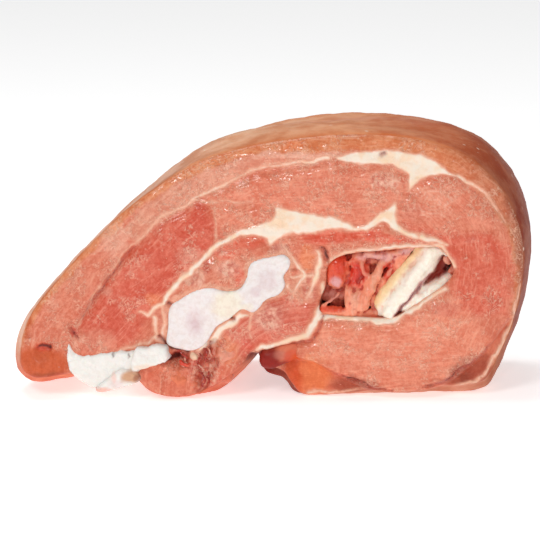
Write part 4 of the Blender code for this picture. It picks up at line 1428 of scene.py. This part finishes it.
def wavering_edge():
    """A mask from a distance in millimetres, its edge broken by noise."""
    if "wavering edge" in bpy.data.node_groups:
        return bpy.data.node_groups["wavering edge"]
    inputs = [
        ("Vector", "Vector", None),
        ("Distance", "Float", 0.0),
        ("Waver", "Float", 0.6),
        ("Blur", "Float", 0.3),
    ]
    tree, given, result = effect("wavering edge", inputs, [("Mask", "Float")])
    unrest = calc(tree, "SUBTRACT", cloud(tree, given["Vector"], *EDGE_NOISE), 0.5)
    moved = calc(tree, "MULTIPLY_ADD", unrest, given["Waver"], given["Distance"])
    mask = ramped(tree, moved, calc(tree, "MULTIPLY", given["Blur"], -1.0), given["Blur"])
    feed(tree, result["Mask"], mask)
    return tree


def moist_grain():
    """Fine moist flesh: streaks along the fibres, small grain, and masks for pale curls and tiny glints that
    the flesh paints in as highlights.
    """
    if "moist grain" in bpy.data.node_groups:
        return bpy.data.node_groups["moist grain"]
    inputs = [("Vector", "Vector", None), ("Fibres", "Vector", None), ("Grain Size", "Float", 520.0)]
    outputs = [(label, "Float") for label in ("Streaks", "Grain", "Curls", "Glints", "Height")]
    tree, given, result = effect("moist grain", inputs, outputs)
    stretch = put(tree, "Mapping", given["Fibres"])
    stretch.inputs["Scale"].default_value = FIBRE_SQUEEZE
    streaks = cloud(tree, stretch.outputs[0], *FIBRE_NOISE)
    wander = calc(tree, "SUBTRACT", cloud(tree, given["Vector"], *CURL_NOISE), 0.5)
    thin = ramped(tree, calc(tree, "ABSOLUTE", wander), 0.06, 0.015)
    curled = ramped(tree, cloud(tree, given["Vector"], *CURL_PATCHES), 0.48, 0.6)
    curls = calc(tree, "MULTIPLY", thin, curled)
    grain = cloud(tree, given["Vector"], given["Grain Size"], 4.0, 0.7)
    cells = put(tree, "TexVoronoi")
    feed(tree, cells.inputs["Vector"], given["Vector"])
    cells.inputs["Scale"].default_value = GLINT_CELLS
    gate = ramped(tree, cloud(tree, given["Vector"], *GLINT_PATCHES), 0.5, 0.62)
    dots = ramped(tree, cells.outputs["Distance"], 0.42, 0.1)
    glints = calc(tree, "MULTIPLY", dots, gate)
    height = calc(tree, "MULTIPLY_ADD", grain, 0.6, calc(tree, "MULTIPLY", streaks, 0.5))
    feed(tree, result["Streaks"], streaks)
    feed(tree, result["Grain"], grain)
    feed(tree, result["Curls"], curls)
    feed(tree, result["Glints"], glints)
    height = calc(tree, "MULTIPLY_ADD", curls, 0.25, height)
    feed(tree, result["Height"], calc(tree, "MULTIPLY_ADD", glints, 0.3, height))
    return tree


def grouped(tree, group, **values):
    made = tree.nodes.new("ShaderNodeGroup")
    made.node_tree = group
    for key, value in values.items():
        feed(tree, made.inputs[key.replace("_", " ")], value)
    return made.outputs


def surface(name, roughness, coat, scatter, scatter_mm):
    """A new material with its Principled shader's plain values set."""
    made = bpy.data.materials.new(name)
    made.use_nodes = True
    shader = made.node_tree.nodes["Principled BSDF"]
    shader.inputs["Roughness"].default_value = roughness
    shader.inputs["Coat Weight"].default_value = coat
    shader.inputs["Coat Roughness"].default_value = COAT_ROUGHNESS
    shader.inputs["Specular IOR Level"].default_value = PLAIN_GLOSS
    shader.inputs["Subsurface Weight"].default_value = scatter
    shader.inputs["Subsurface Radius"].default_value = SCATTER_RADII
    shader.inputs["Subsurface Scale"].default_value = scatter_mm * MM
    return made, made.node_tree, shader


def bumped(tree, shader, height, depth_mm, strength=1.0):
    bump = put(tree, "Bump")
    bump.inputs["Strength"].default_value = strength
    bump.inputs["Distance"].default_value = depth_mm * MM
    feed(tree, bump.inputs["Height"], height)
    feed(tree, shader.inputs["Normal"], bump.outputs[0])


def flesh_material():
    """Moist cut flesh with its seam fat and creases, livelier where cut fibres show, with painted highlights
    and painted shade in its creases.
    """
    made, tree, shader = surface("moist_flesh", *SURFACES["moist_flesh"])
    place = put(tree, "TexCoord").outputs["Object"]
    paint = read(tree, "paint", "Color")
    grain = grouped(tree, moist_grain(), Vector=place, Fibres=read(tree, "grain", "Vector"))
    fat_inside, crease_inside = read(tree, "fat", "Fac"), read(tree, "crease", "Fac")
    fat = grouped(tree, wavering_edge(), Vector=place, Distance=fat_inside, **FAT_EDGE)["Mask"]
    crease = grouped(tree, wavering_edge(), Vector=place, Distance=crease_inside, **CREASE_EDGE)["Mask"]
    mottle = cloud(tree, place, *FLESH_MOTTLE)
    darker = mixed(tree, 1.0, paint, FLESH_SHADE, "MULTIPLY")
    lively = calc(tree, "MULTIPLY_ADD", read(tree, "calm", "Fac"), -0.9, 1.0)
    lighter = mixed(tree, calc(tree, "MULTIPLY", lively, SHINE_SHARE), paint, FLESH_SHINE)
    tint = calc(tree, "MULTIPLY_ADD", grain["Streaks"], 0.25, calc(tree, "MULTIPLY", mottle, 0.3))
    tint = calc(tree, "MULTIPLY_ADD", grain["Grain"], 0.45, tint)
    flesh = mixed(tree, ramped(tree, tint, 0.4, 0.6), darker, lighter)
    threads = calc(tree, "MULTIPLY", ramped(tree, grain["Streaks"], 0.55, 0.68, 0.0, THREAD_SHARE), lively)
    flesh = mixed(tree, threads, flesh, THREAD_AND_SHEEN_TONE)
    # Painted highlights: pale curls and glints of wet sheen
    curls = calc(tree, "MULTIPLY", grain["Curls"], lively)
    flesh = mixed(tree, calc(tree, "MULTIPLY", curls, CURL_SHEEN_SHARE), flesh, THREAD_AND_SHEEN_TONE)
    glints = calc(tree, "MULTIPLY", grain["Glints"], lively)
    colour = mixed(tree, calc(tree, "MULTIPLY", glints, GLINT_SHARE), flesh, GLINT_TONE)
    fine = cloud(tree, place, *FLESH_FINE)
    creamy = ramped(tree, cloud(tree, place, *CREAM_PATCHES), 0.4, 0.65)
    cream = mixed(tree, creamy, rgba("fat_white"), rgba("fat_cream"))
    near_fat = ramped(tree, fat_inside, -1.5, 0.3)
    colour = mixed(tree, calc(tree, "MULTIPLY", near_fat, RIM_SHARE), colour, rgba("fat_rim"))
    thin_fat = mixed(tree, ramped(tree, fat_inside, 0.1, 1.3), rgba("fat_rim"), cream)
    colour = mixed(tree, fat, colour, thin_fat)
    # Painted shade: a blood red halo by each crease and a near black line within it
    crease_halo_shade = ramped(tree, crease_inside, -1.6, 0.0)
    colour = mixed(tree, calc(tree, "MULTIPLY", crease_halo_shade, CREASE_HALO_SHADE_SHARE), colour, rgba("blood"))
    colour = mixed(tree, calc(tree, "MULTIPLY", crease, CREASE_SHADE_SHARE), colour, rgba("crease_red"))
    feed(tree, shader.inputs["Base Color"], colour)
    gloss = ramped(tree, fine, 0.3, 0.7, 0.34, 0.56)
    feed(tree, shader.inputs["Roughness"], calc(tree, "MULTIPLY_ADD", fat, 0.1, gloss))
    feed(tree, shader.inputs["Coat Weight"], calc(tree, "MULTIPLY_ADD", lively, 0.28, 0.02))
    quiet = calc(tree, "MULTIPLY_ADD", fat, -0.7, lively)
    raised = calc(tree, "MULTIPLY", grain["Height"], quiet)
    bumped(tree, shader, raised, 0.7)
    return made


def skin_material():
    """The tan outer skin: mottled, finely wrinkled, with pale flecks."""
    made, tree, shader = surface("outer_skin", *SURFACES["outer_skin"])
    shader.inputs["Specular IOR Level"].default_value = SKIN_GLOSS
    place = put(tree, "TexCoord").outputs["Object"]
    paint = read(tree, "paint", "Color")
    coarse = cloud(tree, place, *SKIN_MOTTLE)
    stretch = put(tree, "Mapping", place)
    stretch.inputs["Scale"].default_value = SKIN_SQUEEZE
    fine = cloud(tree, stretch.outputs[0], *SKIN_FINE)
    darker = mixed(tree, 1.0, paint, SKIN_SHADE, "MULTIPLY")
    lighter = mixed(tree, 0.1, paint, SKIN_SHINE)
    colour = mixed(tree, ramped(tree, coarse, 0.36, 0.64), darker, lighter)
    colour = mixed(tree, ramped(tree, fine, 0.5, 0.72, 0.0, 0.12), colour, SKIN_THREAD)
    flecks = put(tree, "TexVoronoi")
    feed(tree, flecks.inputs["Vector"], place)
    flecks.inputs["Scale"].default_value = FLECK_CELLS
    gate = ramped(tree, cloud(tree, place, *FLECK_PATCHES), 0.56, 0.64)
    spots = calc(tree, "MULTIPLY", ramped(tree, flecks.outputs["Distance"], 0.2, 0.1, 0.0, 0.7), gate)
    colour = mixed(tree, spots, colour, SKIN_FLECK)
    feed(tree, shader.inputs["Base Color"], colour)
    feed(tree, shader.inputs["Roughness"], ramped(tree, fine, 0.3, 0.7, 0.42, 0.6))
    height = calc(tree, "MULTIPLY_ADD", fine, 0.6, calc(tree, "MULTIPLY", coarse, 0.9))
    bumped(tree, shader, calc(tree, "MULTIPLY_ADD", spots, 0.5, height), 0.6)
    return made


def tissue_material(name):
    """A painted tissue with its own grain: fat, cartilage, bone or membrane."""
    grain_scale, contrast, roughness, coat, scatter, relief_mm, gloss = TISSUES[name]
    made, tree, shader = surface(name, roughness, coat, scatter, TISSUE_SCATTER)
    shader.inputs["Specular IOR Level"].default_value = gloss
    place = put(tree, "TexCoord").outputs["Object"]
    paint = read(tree, "paint", "Color")
    grain = cloud(tree, place, grain_scale, 4.0, 0.6, 0.4)
    broad = cloud(tree, place, grain_scale * 0.2, 3.0)
    darker = mixed(tree, contrast, paint, TISSUE_SHADE, "MULTIPLY")
    colour = mixed(tree, ramped(tree, grain, 0.38, 0.6), darker, paint)
    colour = mixed(tree, ramped(tree, broad, 0.5, 0.75, 0.0, contrast * 0.6), colour, darker)
    feed(tree, shader.inputs["Base Color"], colour)
    feed(tree, shader.inputs["Roughness"], ramped(tree, grain, 0.3, 0.7, roughness - 0.08, roughness + 0.1))
    bumped(tree, shader, calc(tree, "MULTIPLY_ADD", broad, 0.8, grain), relief_mm)
    return made


def plain_wet(name, colour):
    """A small wet thing of one tone, a little uneven."""
    made, tree, shader = surface(name, *WET_SURFACE)
    place = put(tree, "TexCoord").outputs["Object"]
    broad = cloud(tree, place, *WET_PATCHES)
    darker = mixed(tree, 1.0, rgba(colour), WET_SHADE, "MULTIPLY")
    feed(tree, shader.inputs["Base Color"], mixed(tree, ramped(tree, broad, 0.4, 0.6), darker, rgba(colour)))
    return made


# Pieces in the fold


def node_shape(name):
    """A merged copy of a model node's own shape."""
    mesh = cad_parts[name].data.copy()
    mesh.materials.clear()
    bm = bmesh.new()
    bm.from_mesh(mesh)
    bmesh.ops.remove_doubles(bm, verts=bm.verts, dist=0.01 * MM)
    bm.to_mesh(mesh)
    bm.free()
    return mesh


def tube(knots, sides=10, rounds=3):
    """A closed tube through rows of x, depth, z and radius, as points and faces."""
    knots = np.array(knots, float)
    at = np.arange(len(knots))
    finer = np.linspace(0, len(knots) - 1, (len(knots) - 1) * rounds + 1)
    rows = np.stack([np.interp(finer, at, knots[:, i]) for i in range(4)], 1)
    points, faces = [], []
    for i, (x, y, z, radius) in enumerate(rows):
        ahead = rows[min(i + 1, len(rows) - 1), :3] - rows[max(i - 1, 0), :3]
        ahead /= np.linalg.norm(ahead)
        side = np.cross(ahead, TUBE_LEAN)
        side /= np.linalg.norm(side)
        up = np.cross(ahead, side)
        end = TUBE_END_SHARE if i in (0, len(rows) - 1) else 1.0
        for turn in np.arange(sides) * 2 * math.pi / sides:
            points.append(np.array((x, y, z)) + radius * end * (side * math.cos(turn) + up * math.sin(turn)))
    for i in range(len(rows) - 1):
        for j in range(sides):
            k = (j + 1) % sides
            faces.append((i * sides + j, i * sides + k, (i + 1) * sides + k, (i + 1) * sides + j))
    faces.append(tuple(range(sides))[::-1])
    faces.append(tuple(range((len(rows) - 1) * sides, len(rows) * sides)))
    return points, faces


def fused(name, base, tubes, voxel_mm, smoothing):
    """One closed skin over a base shape and tubes laid on it."""
    bm = bmesh.new()
    if base:
        bm.from_mesh(base)
    for knots in tubes:
        points, faces = tube(knots)
        made = [bm.verts.new(p) for p in placed(points)]
        for face in faces:
            bm.faces.new([made[i] for i in face])
    bmesh.ops.recalc_face_normals(bm, faces=bm.faces)
    rough = bpy.data.meshes.new(name + "_rough")
    bm.to_mesh(rough)
    bm.free()
    obj = linked(name + "_rough", rough)
    remesh = obj.modifiers.new("skin", "REMESH")
    remesh.mode = "VOXEL"
    remesh.voxel_size = voxel_mm * MM
    soften = obj.modifiers.new("soften", "SMOOTH")
    soften.iterations = smoothing
    soften.factor = 0.5
    mesh = bpy.data.meshes.new_from_object(obj.evaluated_get(bpy.context.evaluated_depsgraph_get()))
    bpy.data.objects.remove(obj)
    mesh.name = name
    mesh.shade_smooth()
    return mesh


def flat(mesh):
    """A mesh's vertices in the drawing, and their x and z alone."""
    points = drawn(vertices(mesh))
    return points, points[:, [0, 2]]


def creased(mesh, rounds):
    """How far the skin around each vertex stands in front of it, in millimetres: positive in a crease."""
    ends = np.empty(len(mesh.edges) * 2, np.int32)
    mesh.edges.foreach_get("vertices", ends)
    one, other = ends.reshape(-1, 2).T
    places = vertices(mesh)
    count = len(places)
    neighbours = np.bincount(one, minlength=count) + np.bincount(other, minlength=count)
    smooth = places.copy()
    for _ in range(rounds):
        sums = [
            np.bincount(one, smooth[other, i], count) + np.bincount(other, smooth[one, i], count)
            for i in range(3)
        ]
        smooth = np.stack(sums, 1) / neighbours[:, None]
    return ((smooth - places) * normals(mesh)).sum(1) / MM


# Geometry nodes: beads of moisture and torn strands


def node_tree(name, inputs):
    """A geometry node tree with named inputs beside its geometry, and its input and output sockets."""
    tree = bpy.data.node_groups.new(name, "GeometryNodeTree")
    tree.interface.new_socket("Geometry", in_out="INPUT", socket_type="NodeSocketGeometry")
    for label, kind, default in inputs:
        socket = tree.interface.new_socket(label, in_out="INPUT", socket_type="NodeSocket" + kind)
        if default is not None:
            socket.default_value = default
    tree.interface.new_socket("Geometry", in_out="OUTPUT", socket_type="NodeSocketGeometry")
    return tree, tree.nodes.new("NodeGroupInput").outputs, tree.nodes.new("NodeGroupOutput").inputs


def step(tree, kind, settings=(), **inputs):
    """Adds a node, sets it, and fills its inputs by name."""
    made = tree.nodes.new(kind)
    for key, value in dict(settings).items():
        setattr(made, key, value)
    for key, value in inputs.items():
        feed(tree, made.inputs[key.replace("_", " ")], value)
    return made.outputs


def bead_tree():
    """Small flattened beads, scattered where the surface is marked as glinting."""
    inputs = [
        ("Density", "Float", 1.0),
        ("Bead Size", "Float", 0.0004),
        ("Seed", "Int", 3),
        ("Finish", "Material", None),
    ]
    tree, given, result = node_tree("moist beads", inputs)
    mark = step(tree, "GeometryNodeInputNamedAttribute", {"data_type": "FLOAT"}, Name="glint")["Attribute"]
    dense = step(tree, "ShaderNodeMath", {"operation": "MULTIPLY"})
    feed(tree, dense[0].node.inputs[0], mark)
    feed(tree, dense[0].node.inputs[1], given["Density"])
    spread = step(
        tree, "GeometryNodeDistributePointsOnFaces", {"distribute_method": "RANDOM"}, Mesh=given["Geometry"],
        Density=dense[0], Seed=given["Seed"],
    )
    bead = step(tree, "GeometryNodeMeshIcoSphere", Radius=given["Bead Size"], Subdivisions=2)["Mesh"]
    size = step(tree, "FunctionNodeRandomValue", {"data_type": "FLOAT_VECTOR"}, Seed=given["Seed"])
    size["Value"].node.inputs["Min"].default_value = BEAD_LEAST
    size["Value"].node.inputs["Max"].default_value = BEAD_MOST
    laid = step(
        tree, "GeometryNodeInstanceOnPoints", Points=spread["Points"], Instance=bead,
        Rotation=spread["Rotation"], Scale=size["Value"],
    )
    real = step(tree, "GeometryNodeRealizeInstances", Geometry=laid["Instances"])
    shaded = step(tree, "GeometryNodeSetShadeSmooth", Geometry=real["Geometry"])
    done = step(tree, "GeometryNodeSetMaterial", Geometry=shaded["Geometry"], Material=given["Finish"])
    feed(tree, result["Geometry"], done["Geometry"])
    return tree


def strand_tree():
    """Uneven torn strands along curves."""
    inputs = [
        ("Thickness", "Float", 0.0006),
        ("Unrest", "Float", 0.0012),
        ("Seed", "Float", 1.0),
        ("Finish", "Material", None),
    ]
    tree, given, result = node_tree("torn strands", inputs)
    finer = step(
        tree, "GeometryNodeResampleCurve", {"mode": "LENGTH"}, Curve=given["Geometry"],
        Length=STRAND_STEP * MM,
    )
    place = step(tree, "GeometryNodeInputPosition")["Position"]
    wild = step(
        tree, "ShaderNodeTexNoise", {"noise_dimensions": "4D"}, Vector=place, W=given["Seed"],
        Scale=STRAND_NOISE_SCALE,
    )
    centred = step(tree, "ShaderNodeVectorMath", {"operation": "SUBTRACT"})
    feed(tree, centred[0].node.inputs[0], wild["Color"])
    centred[0].node.inputs[1].default_value = (0.5, 0.5, 0.5)
    scaled = step(tree, "ShaderNodeVectorMath", {"operation": "SCALE"}, Scale=given["Unrest"])
    feed(tree, scaled[0].node.inputs[0], centred[0])
    moved = step(tree, "GeometryNodeSetPosition", Geometry=finer["Curve"], Offset=scaled["Vector"])
    ring = step(tree, "GeometryNodeCurvePrimitiveCircle", Resolution=8, Radius=given["Thickness"])["Curve"]
    skin = step(tree, "GeometryNodeCurveToMesh", Curve=moved["Geometry"], Profile_Curve=ring, Fill_Caps=True)
    real = step(tree, "GeometryNodeRealizeInstances", Geometry=skin["Mesh"])
    shaded = step(tree, "GeometryNodeSetShadeSmooth", Geometry=real["Geometry"])
    done = step(tree, "GeometryNodeSetMaterial", Geometry=shaded["Geometry"], Material=given["Finish"])
    feed(tree, result["Geometry"], done["Geometry"])
    return tree


def grown(name, base, tree, **values):
    """Runs a geometry node tree on base data, and keeps its result as a plain mesh object."""
    source = bpy.data.objects.new(name + "_source", base)
    bpy.context.scene.collection.objects.link(source)
    modifier = source.modifiers.new("grow", "NODES")
    modifier.node_group = tree
    for socket in tree.interface.items_tree:
        key = socket.name.replace(" ", "_")
        if socket.in_out == "INPUT" and key in values:
            modifier[socket.identifier] = values[key]
    mesh = bpy.data.meshes.new_from_object(source.evaluated_get(bpy.context.evaluated_depsgraph_get()))
    bpy.data.objects.remove(source)
    mesh.name = name
    return linked(name, mesh)


# Operators


class TENDRON_OT_stage(bpy.types.Operator):
    """A pale floor, soft light and the camera"""

    bl_idname = "tendron.stage"
    bl_label = "Stage"

    def execute(self, context):
        scene = context.scene
        scene.view_settings.view_transform = "Standard"
        world = bpy.data.worlds.new("studio")
        world.use_nodes = True
        world.node_tree.nodes["Background"].inputs["Color"].default_value = (1, 1, 1, 1)
        world.node_tree.nodes["Background"].inputs["Strength"].default_value = WORLD_LIGHT
        scene.world = world
        bm = bmesh.new()
        bmesh.ops.create_circle(bm, cap_ends=True, radius=FLOOR_RADIUS, segments=64)
        floor_mesh = bpy.data.meshes.new("floor")
        bm.to_mesh(floor_mesh)
        bm.free()
        floor_mesh.transform(Matrix.Translation((0, 0, -FLOOR_DROP * MM)))
        material, _, shader = surface("pale_floor", *SURFACES["pale_floor"])
        shader.inputs["Base Color"].default_value = FLOOR_TONE
        shader.inputs["Emission Color"].default_value = (1, 1, 1, 1)
        shader.inputs["Emission Strength"].default_value = FLOOR_GLOW
        linked("floor", floor_mesh, material)
        for name, at, size, power in LAMPS:
            data = bpy.data.lights.new(name, "AREA")
            data.shape = "DISK"
            data.size = size
            data.energy = power
            lamp = bpy.data.objects.new(name, data)
            lamp.location = at
            lamp.rotation_euler = (Vector(LAMP_AIM) - Vector(at)).to_track_quat("-Z", "Y").to_euler()
            scene.collection.objects.link(lamp)
        turn, rise = math.radians(CAMERA_TURN), math.radians(CAMERA_RISE)
        back = Vector((math.sin(turn) * math.cos(rise), -math.cos(turn) * math.cos(rise), math.sin(rise)))
        data = bpy.data.cameras.new("camera")
        data.lens = SENSOR_WIDTH * CAMERA_REACH / VIEW_WIDTH
        camera = bpy.data.objects.new("camera", data)
        camera.location = Vector(CAMERA_AIM) + back * CAMERA_REACH
        camera.rotation_euler = (-back).to_track_quat("-Z", "Y").to_euler()
        scene.collection.objects.link(camera)
        scene.camera = camera
        return {"FINISHED"}


class TENDRON_OT_meat(bpy.types.Operator):
    """All the muscle with its seam fat, skin and hollow"""

    bl_idname = "tendron.meat"
    bl_label = "Meat"

    def execute(self, context):
        piece = linked("tendron_meat", make_flesh(), flesh_material(), skin_material())
        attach(piece, "root")
        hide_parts("meat", "upper_seam_fat", "middle_seam_fat")
        return {"FINISHED"}


class TENDRON_OT_cartilage(bpy.types.Operator):
    """Two lobes of rib cartilage with mottled middles"""

    bl_idname = "tendron.cartilage"
    bl_label = "Rib cartilage"

    def execute(self, context):
        mesh, points = make_insert(
            "rib_cartilage_surface", RIB_CARTILAGE, -0.3, SLAB_DEPTH - 0.8, 0.6, 1.4,
            lambda p: broad_relief(p) + bumps(p, CARTILAGE_BUMPS),
        )
        on_cut = points[:, [0, 2]]
        colours = np.tile(tone("cartilage_white"), (len(points), 1))
        store(mesh, "paint", patched(colours, on_cut, CARTILAGE_PATCHES))
        material = tissue_material("waxy_cartilage")
        piece = linked("cartilage_lobes", mesh, material)
        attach(piece, "root")
        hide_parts("rib_cartilage")
        return {"FINISHED"}


class TENDRON_OT_breastbone(bpy.types.Operator):
    """The pale wedge and bar of the breastbone, with its stained patch"""

    bl_idname = "tendron.breastbone"
    bl_label = "Breastbone"

    def execute(self, context):
        material = tissue_material("chalky_bone")
        for name, outline, front, back, height, reach, ragged in BONE_PARTS:
            mesh, points = make_insert(
                name + "_surface", outline, front, back, height, reach,
                lambda p: bumps(p, BONE_BUMPS), ragged,
            )
            colours = np.tile(tone("bone_cream"), (len(points), 1))
            store(mesh, "paint", patched(colours, points[:, [0, 2]], BONE_PATCHES))
            piece = linked(name, mesh, material)
            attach(piece, "root")
        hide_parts("breastbone")
        return {"FINISHED"}


class TENDRON_OT_breast_edge(bpy.types.Operator):
    """The ragged lumps and curls along the breast edge"""

    bl_idname = "tendron.breast_edge"
    bl_label = "Ragged breast edge"

    def execute(self, context):
        mesh = fused("breast_edge_surface", None, EDGE_TUBES, context.scene.tendron_sizes.fold_step, 3)
        points, on_cut = flat(mesh)
        push(mesh, bumps(points, EDGE_BUMPS))
        colours = np.tile(tone("low_red"), (len(points), 1))
        colours = patched(colours, on_cut, EDGE_PATCHES)
        # Painted shade: the lumps' creases darkened to blood red
        dip = creased(mesh, CREASE_ROUNDS)
        colours = blend(colours, "blood", EDGE_CREASE_SHADE_SHARE * ease(dip, *EDGE_CREASE_SHADE))
        store(mesh, "paint", colours)
        material = tissue_material("ragged_flesh")
        piece = linked("ragged_breast_edge", mesh, material)
        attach(piece, "root")
        for name, finish, seed, runs in SHREDS:
            strands = bpy.data.curves.new(name, "CURVE")
            strands.dimensions = "3D"
            for knots in runs:
                spline = strands.splines.new("POLY")
                spline.points.add(len(knots) - 1)
                for point, place in zip(spline.points, placed(knots)):
                    point.co = (*place, 1)
            shreds = grown(
                "breast_edge_" + name, strands, strand_tree(), Thickness=STRAND_THICKNESS * MM,
                Unrest=STRAND_UNREST * MM, Seed=seed, Finish=plain_wet("torn_" + name, finish),
            )
            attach(shreds, "root")
        return {"FINISHED"}


class TENDRON_OT_fold_end(bpy.types.Operator):
    """The rounded end of the folded flank, darkened with painted shade, and the orange fold beside it"""

    bl_idname = "tendron.fold_end"
    bl_label = "End of the fold"

    def execute(self, context):
        mesh = fused("fold_end_surface", None, FOLD_END_TUBES, context.scene.tendron_sizes.fold_step, 5)
        points, on_cut = flat(mesh)
        push(mesh, bumps(points, FOLD_END_BUMPS))
        colours = np.tile(tone("salmon"), (len(points), 1))
        store(mesh, "paint", patched(colours, on_cut, FOLD_END_PATCHES))
        material = tissue_material("smooth_fascia")
        piece = linked("folded_end", mesh, material)
        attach(piece, "root")
        return {"FINISHED"}


class TENDRON_OT_beads(bpy.types.Operator):
    """Beads of moisture that glint in patches on the cut"""

    bl_idname = "tendron.beads"
    bl_label = "Moist beads"

    def execute(self, context):
        meat = bpy.data.objects["tendron_meat"].data.copy()
        points, on_cut = flat(meat)
        mark = np.full(len(points), BEAD_BACKGROUND)
        for x, z, wide, high, strength in BEAD_PATCHES:
            away = np.hypot((on_cut[:, 0] - x) / wide, (on_cut[:, 1] - z) / high)
            mark = np.maximum(mark, strength * (1 - ease(away, *BEAD_EDGE)))
        fat = np.empty(len(points), np.float32)
        meat.attributes["fat"].data.foreach_get("value", fat)
        mark *= (points[:, 1] < BEAD_DEPTH) * (fat < BEAD_CLEARANCE)
        for outline in (RIB_CARTILAGE, BREASTBONE):
            mark *= curve_depth(on_cut, outline) < BEAD_CLEARANCE
        store(meat, "glint", mark)
        piece = grown(
            "moist_beads", meat, bead_tree(), Density=BEAD_DENSITY, Bead_Size=BEAD_SIZE * MM, Seed=BEAD_SEED,
            Finish=plain_wet("moisture", "mesh_pale"),
        )
        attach(piece, "root")
        return {"FINISHED"}


class TENDRON_OT_fold_fat(bpy.types.Operator):
    """The thick fold of fat in the hollow, with its yellow side"""

    bl_idname = "tendron.fold_fat"
    bl_label = "Fold of fat"

    def execute(self, context):
        sizes = context.scene.tendron_sizes
        mesh = fused("fold_fat_surface", node_shape("fold_fat"), FOLD_FAT_TUBES, sizes.fold_step, 4)
        points, on_cut = flat(mesh)
        gap = outline_depth(warped(on_cut), np.array(FOLD_GAP, float))
        slit = stroke_depth(warped(on_cut), FOLD_SLIT)
        near = 1 - ease(points[:, 1], *GAP_DEPTHS)
        points[:, 1] += (GAP_SINK * ease(gap, *GAP_EDGE) + SLIT_SINK * ease(slit, *SLIT_EDGE)) * near
        mesh.vertices.foreach_set("co", placed(points).astype(np.float32).ravel())
        mesh.update()
        push(mesh, bumps(points, FOLD_FAT_BUMPS))
        colours = np.tile(tone("fold_white"), (len(points), 1))
        yellow = ease(-below(YELLOW_LINE, on_cut), *YELLOW_EDGE)
        colours = blend(colours, "fat_yellow", YELLOW_SHARE * yellow)
        # Painted shade: darker further from the cuts
        deep = from_cut(points[:, 1], BACK_FOLD_INSET)
        colours = blend(colours, "cavity", FOLD_SHADE_SHARE * ease(deep, *FAT_SHADE_DEPTHS))
        scribble = (np.abs(waver(points, *SCRIBBLE)) < SCRIBBLE_WIDTH) * (below(SCRIBBLE_LINE, on_cut) > 1)
        colours = blend(colours, "fold_pink", SCRIBBLE_SHARE * scribble)
        # Painted shade: the fat's creases tinted pink
        dip = creased(mesh, CREASE_ROUNDS)
        colours = blend(colours, "fat_rim", FAT_CREASE_SHADE_SHARE * ease(dip, *FAT_CREASE_SHADE))
        # Painted shade: the slit tinted lilac and darkened, the gap blood red
        colours = blend(colours, "lilac", SLIT_SHADE_SHARE * ease(slit, *SLIT_SHADE_EDGE))
        colours = blend(colours, "blood", GAP_SHADE_SHARE * ease(gap, *GAP_SHADE_EDGE))
        store(mesh, "paint", colours)
        piece = linked("fold_of_fat", mesh, tissue_material("fold_fat"))
        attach(piece, "root")
        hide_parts("fold_fat")
        return {"FINISHED"}


class TENDRON_OT_fold_membrane(bpy.types.Operator):
    """The bunched pink membrane and its wet shreds in the hollow"""

    bl_idname = "tendron.fold_membrane"
    bl_label = "Bunched membrane"

    def execute(self, context):
        sizes = context.scene.tendron_sizes
        voxel = MEMBRANE_VOXEL_SHARE * sizes.fold_step
        mesh = fused("fold_membrane_surface", node_shape("fold_membrane"), MEMBRANE_TUBES, voxel, 2)
        points, on_cut = flat(mesh)
        push(mesh, bumps(points, MEMBRANE_BUMPS))
        colours = np.tile(tone("fold_pink"), (len(points), 1))
        colours = patched(colours, on_cut, MEMBRANE_PATCHES)
        # Painted highlight on the ridges and painted shade in the creases
        dip = creased(mesh, MEMBRANE_CREASE_ROUNDS)
        ridge_highlight = ease(-dip, *MEMBRANE_RIDGE_HIGHLIGHT) * ease(points[:, 0], *MEMBRANE_RIDGE_HIGHLIGHT_X)
        colours = blend(colours, "fat_rim", MEMBRANE_RIDGE_HIGHLIGHT_SHARE * ridge_highlight)
        colours = blend(colours, "blood", MEMBRANE_CREASE_SHADE_SHARE * ease(dip, *MEMBRANE_CREASE_SHADE))
        # Painted shade: a deeper red, then dark, further from the cuts
        deep = from_cut(points[:, 1], BACK_FOLD_INSET)
        colours = blend(colours, "deep_red", MEMBRANE_RED_SHADE_SHARE * ease(deep, *MEMBRANE_RED_SHADE_DEPTHS))
        store(mesh, "paint", blend(colours, "cavity", FOLD_SHADE_SHARE * ease(deep, *MEMBRANE_SHADE_DEPTHS)))
        material = tissue_material("wet_membrane")
        piece = linked("bunched_membrane", mesh, material)
        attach(piece, "root")
        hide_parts("fold_membrane")
        return {"FINISHED"}


class TENDRON_PT_panel(bpy.types.Panel):
    """Lists the steps that build the tendron"""

    bl_idname = "TENDRON_PT_panel"
    bl_label = "Raw Veal Tendron"
    bl_space_type = "VIEW_3D"
    bl_region_type = "UI"
    bl_category = "Tendron"

    def draw(self, context):
        for kind in STEPS:
            self.layout.operator(kind.bl_idname)
        for group in (context.scene.tendron_sizes, context.scene.tendron_tones):
            for name in group.__annotations__:
                self.layout.prop(group, name)


STEPS = (
    TENDRON_OT_stage,
    TENDRON_OT_meat,
    TENDRON_OT_cartilage,
    TENDRON_OT_breastbone,
    TENDRON_OT_breast_edge,
    TENDRON_OT_fold_end,
    TENDRON_OT_beads,
    TENDRON_OT_fold_fat,
    TENDRON_OT_fold_membrane,
)
CLASSES = (TendronTones, TendronSizes, *STEPS, TENDRON_PT_panel)


def register():
    for kind in CLASSES:
        bpy.utils.register_class(kind)
    bpy.types.Scene.tendron_tones = PointerProperty(type=TendronTones)
    bpy.types.Scene.tendron_sizes = PointerProperty(type=TendronSizes)


def unregister():
    del bpy.types.Scene.tendron_sizes
    del bpy.types.Scene.tendron_tones
    for kind in reversed(CLASSES):
        bpy.utils.unregister_class(kind)


def main():
    register()
    for kind in STEPS:
        area, call = kind.bl_idname.split(".")
        getattr(getattr(bpy.ops, area), call)()


if __name__ == "__main__":
    main()
